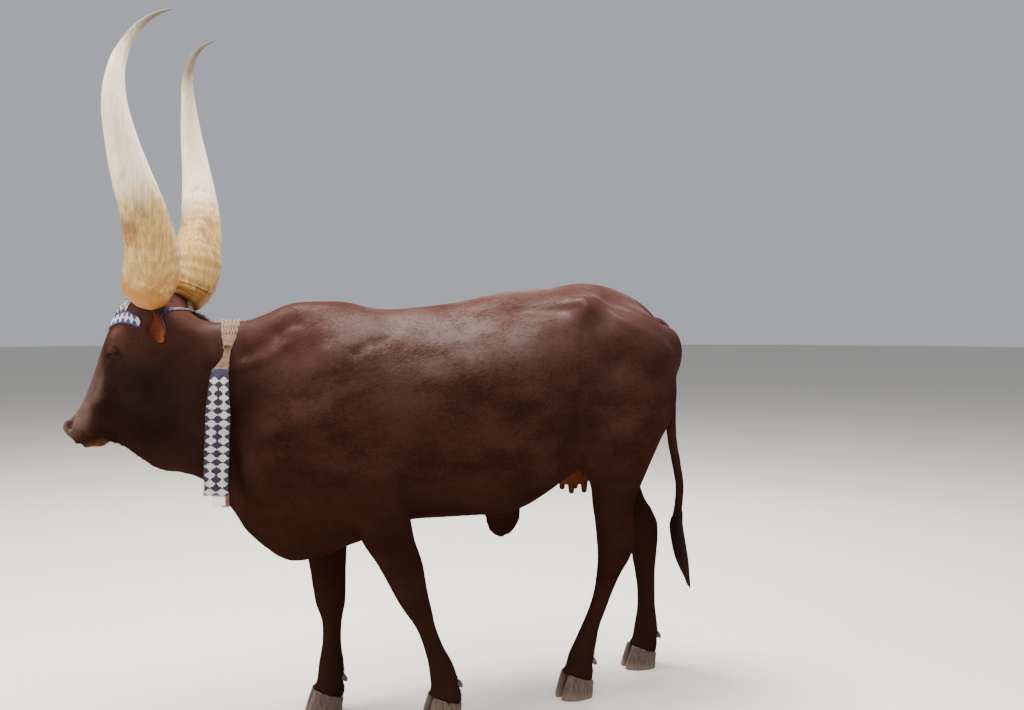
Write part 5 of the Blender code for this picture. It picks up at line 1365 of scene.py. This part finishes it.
def hair_group():
    """Short hair: streaks that follow the lie of body, legs and head. Puts out their height and tone."""
    made = group("short hair", (("Height", "NodeSocketFloat"), ("Tone", "NodeSocketFloat")))
    body = noise(made, (60, 420, 420), turn=(0, math.radians(20), 0))
    legs = noise(made, (420, 420, 60))
    head = noise(made, (420, 420, 60), turn=(0, FACE_SLOPE - math.pi / 2, HEAD_TURN))
    on_head = near(made, on_face(0.22, -0.06, 0), 0.34, 0.26)
    value = red(made, blend(made, on_head, blend(made, by_height(made, 0.72, 0.58), body, legs), head))
    broad = maths(made, "MULTIPLY", noise(made, (5, 9, 9)), 0.55)
    tone = maths(made, "ADD", maths(made, "MULTIPLY", value, 0.45), broad)
    return finish_group(made, Height=value, Tone=tone)


def shader(name, base, rough, **numbers):
    """A material whose Principled shader has its uniform numbers set on its own sockets."""
    made = bpy.data.materials.new(name)
    made.use_nodes = True
    tree = made.node_tree
    surface = tree.nodes["Principled BSDF"]
    surface.inputs["Base Color"].default_value = colour(base)
    surface.inputs["Roughness"].default_value = rough
    for label, value in numbers.items():
        surface.inputs[label.replace("_", " ")].default_value = value
    return made, tree, surface


def raise_bump(tree, surface, height, strength, distance):
    bump = add(tree, "ShaderNodeBump", {"Height": height, "Strength": strength, "Distance": distance})
    paint(tree, surface, Normal=bump.outputs[0])


def coat_material(hair):
    """Dark mahogany short coat: a gloss that fades down from the back and towards the neck. Painted light
    makes it lighter and redder along the top; painted shade darkens it at throat, cheek and low down;
    painted highlights pale it down the face's bridge and on the brow; the muzzle is paler, its bare skin's
    own colour and partly a painted highlight; painted shade darkens the nostril openings; orange-brown at
    the chin and the udder."""
    made, tree, surface = shader("mahogany coat", (0.025, 0.008, 0.005), 0.42, Specular_IOR_Level=0.0,
                                 Coat_Roughness=0.42, Coat_IOR=1.42)
    lie = add(tree, "ShaderNodeGroup", node_tree=hair)
    tone = span(tree, lie.outputs["Tone"], 0.35, 0.66)
    # The bare muzzle: paler skin of its own, partly a painted highlight, and its pebbled bump
    muzzle = near(tree, on_face(0.505, -0.045, 0), 0.060, 0.040)
    # Where the painted highlight down the face's bridge lies
    bridge = maths(tree, "MAXIMUM", near(tree, on_face(0.33, 0.045, 0), 0.142, 0.092),
                   near(tree, on_face(0.43, 0, 0), 0.118, 0.076))
    # Where painted shade darkens the nostril openings
    nostril_shade = [near(tree, on_face(0.459, -0.028, 0.051 * k), 0.021, 0.010) for k in (1, -1)]
    base = blend(tree, tone, (0.0150, 0.0060, 0.0043), (0.038, 0.0150, 0.0112))
    base = tint(tree, base,
                # Painted light: lighter and redder towards the top of the back, for the light from above
                (by_height(tree, 1.05, 1.38), 0.80, (0.052, 0.0190, 0.0150)),
                # Painted shade: darker low down, on the lower barrel, belly and legs
                (by_height(tree, 0.92, 0.66), 0.70, (0.0135, 0.0050, 0.0030)),
                (by_height(tree, 0.42, 0.16), 0.55, (0.0190, 0.0095, 0.0065)),
                # Painted shade on the neck and throat
                (near(tree, (0.32, 0.02, 1.02), 0.30, 0.12), 0.65, (0.0100, 0.0048, 0.0036)),
                # Painted shade on the lower cheek
                (near(tree, on_face(0.27, -0.15, 0), 0.21, 0.12), 0.80, (0.0095, 0.0048, 0.0038)),
                # Painted highlight down the face's bridge
                (bridge, span(tree, tone, 0.0, 1.0, 0.42, 0.82), (0.115, 0.068, 0.060)),
                # Painted highlight on the brows
                (near(tree, on_face(0.150, 0.004, 0.105), 0.050, 0.015), 0.45, (0.085, 0.040, 0.030)),
                (near(tree, (-0.915, 0.0, 0.745), 0.150, 0.085), 0.75, (0.085, 0.024, 0.0085)),
                # Paler muzzle: its bare skin's own colour, partly a painted highlight
                (muzzle, 0.60, (0.130, 0.078, 0.066)),
                (near(tree, on_face(0.478, -0.125, 0), 0.056, 0.024), 0.60, (0.150, 0.055, 0.022)),
                # Painted shade in the nostril openings
                (maths(tree, "MAXIMUM", *nostril_shade), 0.85, (0.024, 0.0080, 0.0045)))
    gloss = maths(tree, "MULTIPLY", by_height(tree, 0.95, 1.32, 0.01, 0.60),
                  near(tree, (0.30, 0.0, 1.25), 0.12, 0.62, 0.24, 1.0))
    paint(tree, surface, Base_Color=base, Coat_Weight=maths(tree, "MULTIPLY", gloss, tone),
          Roughness=red(tree, blend(tree, tone, (0.48, 0.48, 0.48), (0.36, 0.36, 0.36))))
    pebbles = add(tree, "ShaderNodeTexVoronoi", {"Vector": stretched(tree, (1, 1, 1)), "Scale": 380.0})
    height = blend(tree, muzzle, lie.outputs["Height"], pebbles.outputs["Distance"])
    raise_bump(tree, surface, height, 0.30, 0.0012)
    return made


def ear_material(hair):
    """Reddish thin ear: the coat's own hair, warmer, and orange towards the tip inside the cup: painted
    light shining through the thin ear.
    """
    made, tree, surface = shader("ear coat", (0.14, 0.05, 0.03), 0.5, Specular_IOR_Level=0.05,
                                 Subsurface_Weight=0.18, Subsurface_Scale=0.006)
    lie = add(tree, "ShaderNodeGroup", node_tree=hair)
    tone = span(tree, lie.outputs["Tone"], 0.35, 0.66)
    outside = blend(tree, tone, (0.014, 0.0040, 0.0025), (0.036, 0.0105, 0.0065))
    inside = blend(tree, tone, (0.060, 0.0105, 0.0042), (0.110, 0.021, 0.0080))
    # Painted light: orange towards the tip inside the cup, as light shining through the thin ear
    inside = blend(tree, span(tree, kept(tree, "along_ear"), 0.50, 0.95), inside, (0.34, 0.085, 0.024))
    paint(tree, surface, Base_Color=blend(tree, kept(tree, "inside"), outside, inside))
    raise_bump(tree, surface, lie.outputs["Height"], 0.3, 0.001)
    return made


def horn_material():
    """Ivory horn: orange at the seat, tan with brown stains and scratches below, cream above and a
    grey-brown tip."""
    made, tree, surface = shader("horn", (0.70, 0.58, 0.40), 0.42, Specular_IOR_Level=0.12)
    fine = noise(tree, (150, 150, 9), 5.0)
    blotch = noise(tree, (13, 13, 6), 5.0, 0.62)
    streak = noise(tree, (55, 55, 5), 6.0, 0.7)
    cream = blend(tree, span(tree, fine, 0.35, 0.65), (0.74, 0.625, 0.425), (0.88, 0.79, 0.595))
    tan = blend(tree, span(tree, fine, 0.35, 0.68), (0.35, 0.205, 0.060), (0.55, 0.365, 0.135))
    sway = maths(tree, "MULTIPLY", maths(tree, "SUBTRACT", blotch, 0.5), 0.34)
    wander = maths(tree, "ADD", kept(tree, "share"), sway)
    band = maths(tree, "MULTIPLY", span(tree, wander, 0.20, 0.28), span(tree, wander, 0.40, 0.32))
    stain = maths(tree, "MULTIPLY", band, span(tree, blotch, 0.46, 0.62))
    base = tint(tree, blend(tree, span(tree, wander, 0.42, 0.26), cream, tan),
                (stain, 0.85, (0.175, 0.080, 0.030)),
                (span(tree, streak, 0.62, 0.76), 0.35, (0.30, 0.180, 0.080)),
                (span(tree, wander, 0.085, 0.030), 0.85, (0.33, 0.130, 0.027)),
                (span(tree, wander, 0.70, 0.94), 0.90, (0.095, 0.070, 0.052)))
    paint(tree, surface, Base_Color=base, Roughness=span(tree, fine, 0.3, 0.7, 0.52, 0.36))
    raise_bump(tree, surface, maths(tree, "ADD", fine, streak), 0.25, 0.0012)
    return made


def hoof_material():
    """Brown-grey horn with pale growth rings, dusty at the ground."""
    made, tree, surface = shader("hoof", (0.14, 0.09, 0.07), 0.55)
    grain = noise(tree, (180, 180, 26), 5.0)
    base = blend(tree, span(tree, grain, 0.32, 0.68), (0.030, 0.0165, 0.0120), (0.105, 0.062, 0.044))
    dust = span(tree, kept(tree, "share"), 0.55, 1.0)
    paint(tree, surface, Base_Color=tint(tree, base, (dust, 0.55, (0.22, 0.150, 0.105))))
    rings = add(tree, "ShaderNodeTexWave", {"Vector": stretched(tree, (1, 1, 1)), "Scale": 60.0,
                                            "Distortion": 2.0}, bands_direction="Z")
    raise_bump(tree, surface, maths(tree, "ADD", rings.outputs["Fac"], grain), 0.30, 0.0010)
    return made


def eye_material():
    """Wet dark brown eye, darker still at its round pupil."""
    made, tree, surface = shader("eye", (0.02, 0.010, 0.007), 0.15, Specular_IOR_Level=0.05,
                                 Coat_Weight=0.08, Coat_Roughness=0.03)
    iris = kept(tree, "iris")
    brown = blend(tree, noise(tree, (300, 300, 300)), (0.012, 0.0060, 0.0040), (0.030, 0.0130, 0.0070))
    brown = blend(tree, span(tree, iris, 0.26, 0.20), brown, (0.003, 0.003, 0.004))
    paint(tree, surface, Base_Color=blend(tree, span(tree, iris, 0.55, 0.66), brown, (0.030, 0.018, 0.015)))
    return made


def long_hair_material():
    """Long dark hair of the switch, warmer towards the tips."""
    made, tree, surface = shader("switch hair", (0.03, 0.015, 0.012), 0.55, Specular_IOR_Level=0.05)
    strand = noise(tree, (900, 900, 14), 4.0)
    dark = blend(tree, span(tree, strand, 0.35, 0.7), (0.0030, 0.0012, 0.0009), (0.0130, 0.0045, 0.0028))
    tips = span(tree, kept(tree, "share"), 0.45, 1.0)
    paint(tree, surface, Base_Color=tint(tree, dark, (tips, 0.6, (0.045, 0.0110, 0.0050))))
    raise_bump(tree, surface, strand, 0.6, 0.0012)
    return made


def bead_material(name, tone):
    """Glass seed beads, each a little lighter or darker than the next."""
    made, tree, surface = shader(name, tone, 0.22, Coat_Weight=0.35, Coat_Roughness=0.10)
    cell = add(tree, "ShaderNodeTexVoronoi", {"Vector": stretched(tree, (1, 1, 1)), "Scale": 300.0})
    darker = tuple(0.62 * value for value in tone)
    paint(tree, surface, Base_Color=blend(tree, red(tree, cell.outputs["Color"]), darker, tone))
    return made


def cloth_material(name, tone):
    """Woven backing: crossed threads as two fine waves, with uneven dye."""
    made, tree, surface = shader(name, tone, 0.85, Sheen_Weight=0.2)
    waves = [add(tree, "ShaderNodeTexWave", {"Vector": stretched(tree, (1, 1, 1)), "Scale": 375.0},
                 bands_direction=way).outputs["Fac"] for way in ("Z", "DIAGONAL")]
    weave = maths(tree, "MULTIPLY", *waves)
    shade = tuple(0.72 * value for value in tone)
    uneven = noise(tree, (60, 60, 60), 4.0)
    paint(tree, surface, Base_Color=tint(tree, tone, (uneven, weave, shade)))
    raise_bump(tree, surface, weave, 0.5, 0.0006)
    return made


def fibre_material():
    """Dry plant fibre: long pale and brown threads."""
    made, tree, surface = shader("plant fibre", (0.45, 0.30, 0.19), 0.75, Sheen_Weight=0.15)
    thread = noise(tree, (500, 500, 160), 4.0)
    stain = span(tree, noise(tree, (40, 40, 40)), 0.46, 0.66)
    base = blend(tree, span(tree, thread, 0.3, 0.7), (0.085, 0.038, 0.016), (0.30, 0.175, 0.090))
    paint(tree, surface, Base_Color=tint(tree, base, (stain, 0.6, (0.085, 0.038, 0.017))))
    raise_bump(tree, surface, thread, 0.5, 0.0008)
    return made


def dress(item, material, slot_name, *nodes):
    """Moves a finished piece to the part's frame, gives it its material, hangs it under the root and hides
    the solids it stands for.
    """
    write(item, read(item) + shift)
    item.data.materials.clear()
    item.data.materials.append(material)
    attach(item, "root")
    if nodes:
        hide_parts(*nodes)


def build_animal():
    hair = hair_group()
    coat, ear_coat = coat_material(hair), ear_material(hair)
    horn, hoof, eye, long_hair = horn_material(), hoof_material(), eye_material(), long_hair_material()
    skin = hide_skin()
    tree = skin_tree(skin)
    coats = coat_tufts(skin)
    for k, place in SIDES.items():
        grid = ear_grid(k)
        ear = piece("ear_leaf_" + place, closed(grid))
        cup = smoothstep(0.0, -0.25, np.sin(turns(EAR_SIDES)[0]))
        remember(ear, "inside", np.concatenate([np.tile(cup, len(grid)), [0, 0]]))
        remember_rings(ear, "along_ear", np.linspace(0, 1, len(grid)))
        coats.append(ear_hair(grid, k))
        dress(ear, ear_coat, "ear_coat", "ear_" + place)
        dress(horn_piece("horn_sheath_" + place, k), horn, "horn", "horn_" + place)
        dress(eyeball("eyeball_" + place, k), eye, "eye", "eye_" + place)
        dress(lashes(k), long_hair, "switch_hair")
        for foot in FEET:
            node = foot + "_" + place
            dress(claw_piece("hoof_" + node, foot, k), hoof, "hoof", "claw_" + node)
            dress(dewclaw_piece("spur_" + node, foot, k), hoof, "hoof", "dewclaw_" + node)
    dress(tail_dock(), coat, "coat", "tail")
    dress(switch_locks(), long_hair, "switch_hair", "tail_switch")
    dress(teats(), coat, "udder_skin", "udder")
    for item in coats:
        dress(item, coat, "coat")
    legs = ["leg_" + foot + "_" + part for foot in FEET for part in ("upper", "lower")]
    dress(skin, coat, "coat", "torso", "neck", "head", *legs)
    return tree


def build_ornaments(tree):
    blue = bead_material("navy beads", (0.0055, 0.0040, 0.042))
    violet = bead_material("blue beads", (0.060, 0.042, 0.260))
    white = bead_material("white beads", (0.76, 0.73, 0.68))
    black = bead_material("black beads", (0.012, 0.012, 0.016))
    backing = cloth_material("backing cloth", (0.030, 0.024, 0.040))
    white_cloth = cloth_material("white cloth", (0.78, 0.76, 0.72))
    fibre = fibre_material()
    band, plaque, cord = headband(tree), forehead_plaque(tree), nape_cord(tree)
    panel_cloth, panel_beads, hem, grid = neck_panel(tree)
    for (cloth, beads), slot_name, node, tones in (
            (band, "beadwork", "headband", (violet, white)),
            (plaque, "plaque_beads", "forehead_plaque", (black, white)),
            (cord, "beadwork", "headband_cord", (blue,)),
            ((panel_cloth, panel_beads), "panel_beads", "neck_panel", (blue, white))):
        dress(cloth, backing, slot_name, node)
        for item, tone in zip(beads, tones):
            dress(item, tone, slot_name)
    dress(hem, white_cloth, "hem_cloth", "panel_hem")
    shapes, knot = neck_tie(tree)
    dress(piece("neck_cords", joined(shapes + tie_tails(grid, knot))), fibre, "fibre", "neck_tie")


def photo_camera():
    """A camera at the viewing place of the photograph, as a pinhole of the same field."""
    lens = bpy.data.cameras.new("photo camera")
    lens.sensor_width = 36.0
    lens.lens = 36.0 * 1000 / 1024
    eye = bpy.data.objects.new("photo camera", lens)
    turn, dip = math.radians(22.0), math.radians(1.776)
    aim = Vector((-math.sin(turn) * math.cos(dip), -math.cos(turn) * math.cos(dip), -math.sin(dip)))
    eye.location = Vector(np.array([0.589, 3.151, 1.28]) + shift)
    eye.rotation_euler = aim.to_track_quat("-Z", "Y").to_euler()
    bpy.context.scene.collection.objects.link(eye)
    bpy.context.scene.camera = eye


def lamp(name, place, goal, size, power, tone=(1.0, 1.0, 1.0)):
    """A square soft light that faces a goal."""
    light = bpy.data.lights.new(name, "AREA")
    light.size = size
    light.energy = power
    light.color = tone
    item = bpy.data.objects.new(name, light)
    item.location = place
    item.rotation_euler = (Vector(goal) - Vector(place)).to_track_quat("-Z", "Y").to_euler()
    bpy.context.scene.collection.objects.link(item)


def stage():
    """A pale round floor, an even pale sky, a broad light overhead and softer ones round it."""
    turn = turns(FLOOR_SIDES)
    radius = column([0.5, 3.0, 9.0, 24.0, 60.0])
    grid = np.stack([radius * np.cos(turn), radius * np.sin(turn), 0 * radius * turn], -1)
    i = np.arange(FLOOR_SIDES)
    fan = np.stack([(i + 1) % FLOOR_SIDES, i, 0 * i + grid.shape[0] * FLOOR_SIDES], -1)
    points = np.vstack([grid.reshape(-1, 3), [[0, 0, 0]]])
    faces = grid_faces(len(radius), FLOOR_SIDES)[:, ::-1].tolist() + fan.tolist()
    floor = piece("floor", (points, faces), False)
    for poly in floor.data.polygons:
        if poly.normal.z < 0:
            poly.flip()
    made, tree, surface = shader("pale floor", (0.74, 0.70, 0.64), 0.9)
    grit = noise(tree, (34, 34, 34), 8.0, 0.6)
    paint(tree, surface, Base_Color=blend(tree, grit, (0.60, 0.565, 0.515), (0.69, 0.655, 0.60)))
    raise_bump(tree, surface, grit, 0.12, 0.004)
    floor.data.materials.append(made)
    sky = bpy.data.worlds.new("pale sky")
    sky.use_nodes = True
    background = sky.node_tree.nodes["Background"]
    background.inputs["Color"].default_value = (0.86, 0.90, 0.96, 1)
    background.inputs["Strength"].default_value = 0.50
    bpy.context.scene.world = sky
    lamp("overhead", (1.0, -1.0, 7.0), (0.0, 0.0, 0.9), 2.4, 1250, (1.0, 0.965, 0.91))
    lamp("over the barrel", (-0.9, 1.3, 6.0), (-0.3, 0.0, 1.0), 3.4, 520, (1.0, 0.975, 0.94))
    lamp("near side", (1.2, 4.5, 3.4), (0.0, 0.0, 0.9), 3.0, 75, (1.0, 0.98, 0.95))
    lamp("ahead", (4.2, 0.2, 2.6), (0.5, -0.1, 1.3), 2.0, 150, (1.0, 0.98, 0.96))
    lamp("behind", (-2.5, -3.5, 3.2), (0.0, 0.0, 1.0), 2.5, 80)


photo_camera()
stage()
build_ornaments(build_animal())
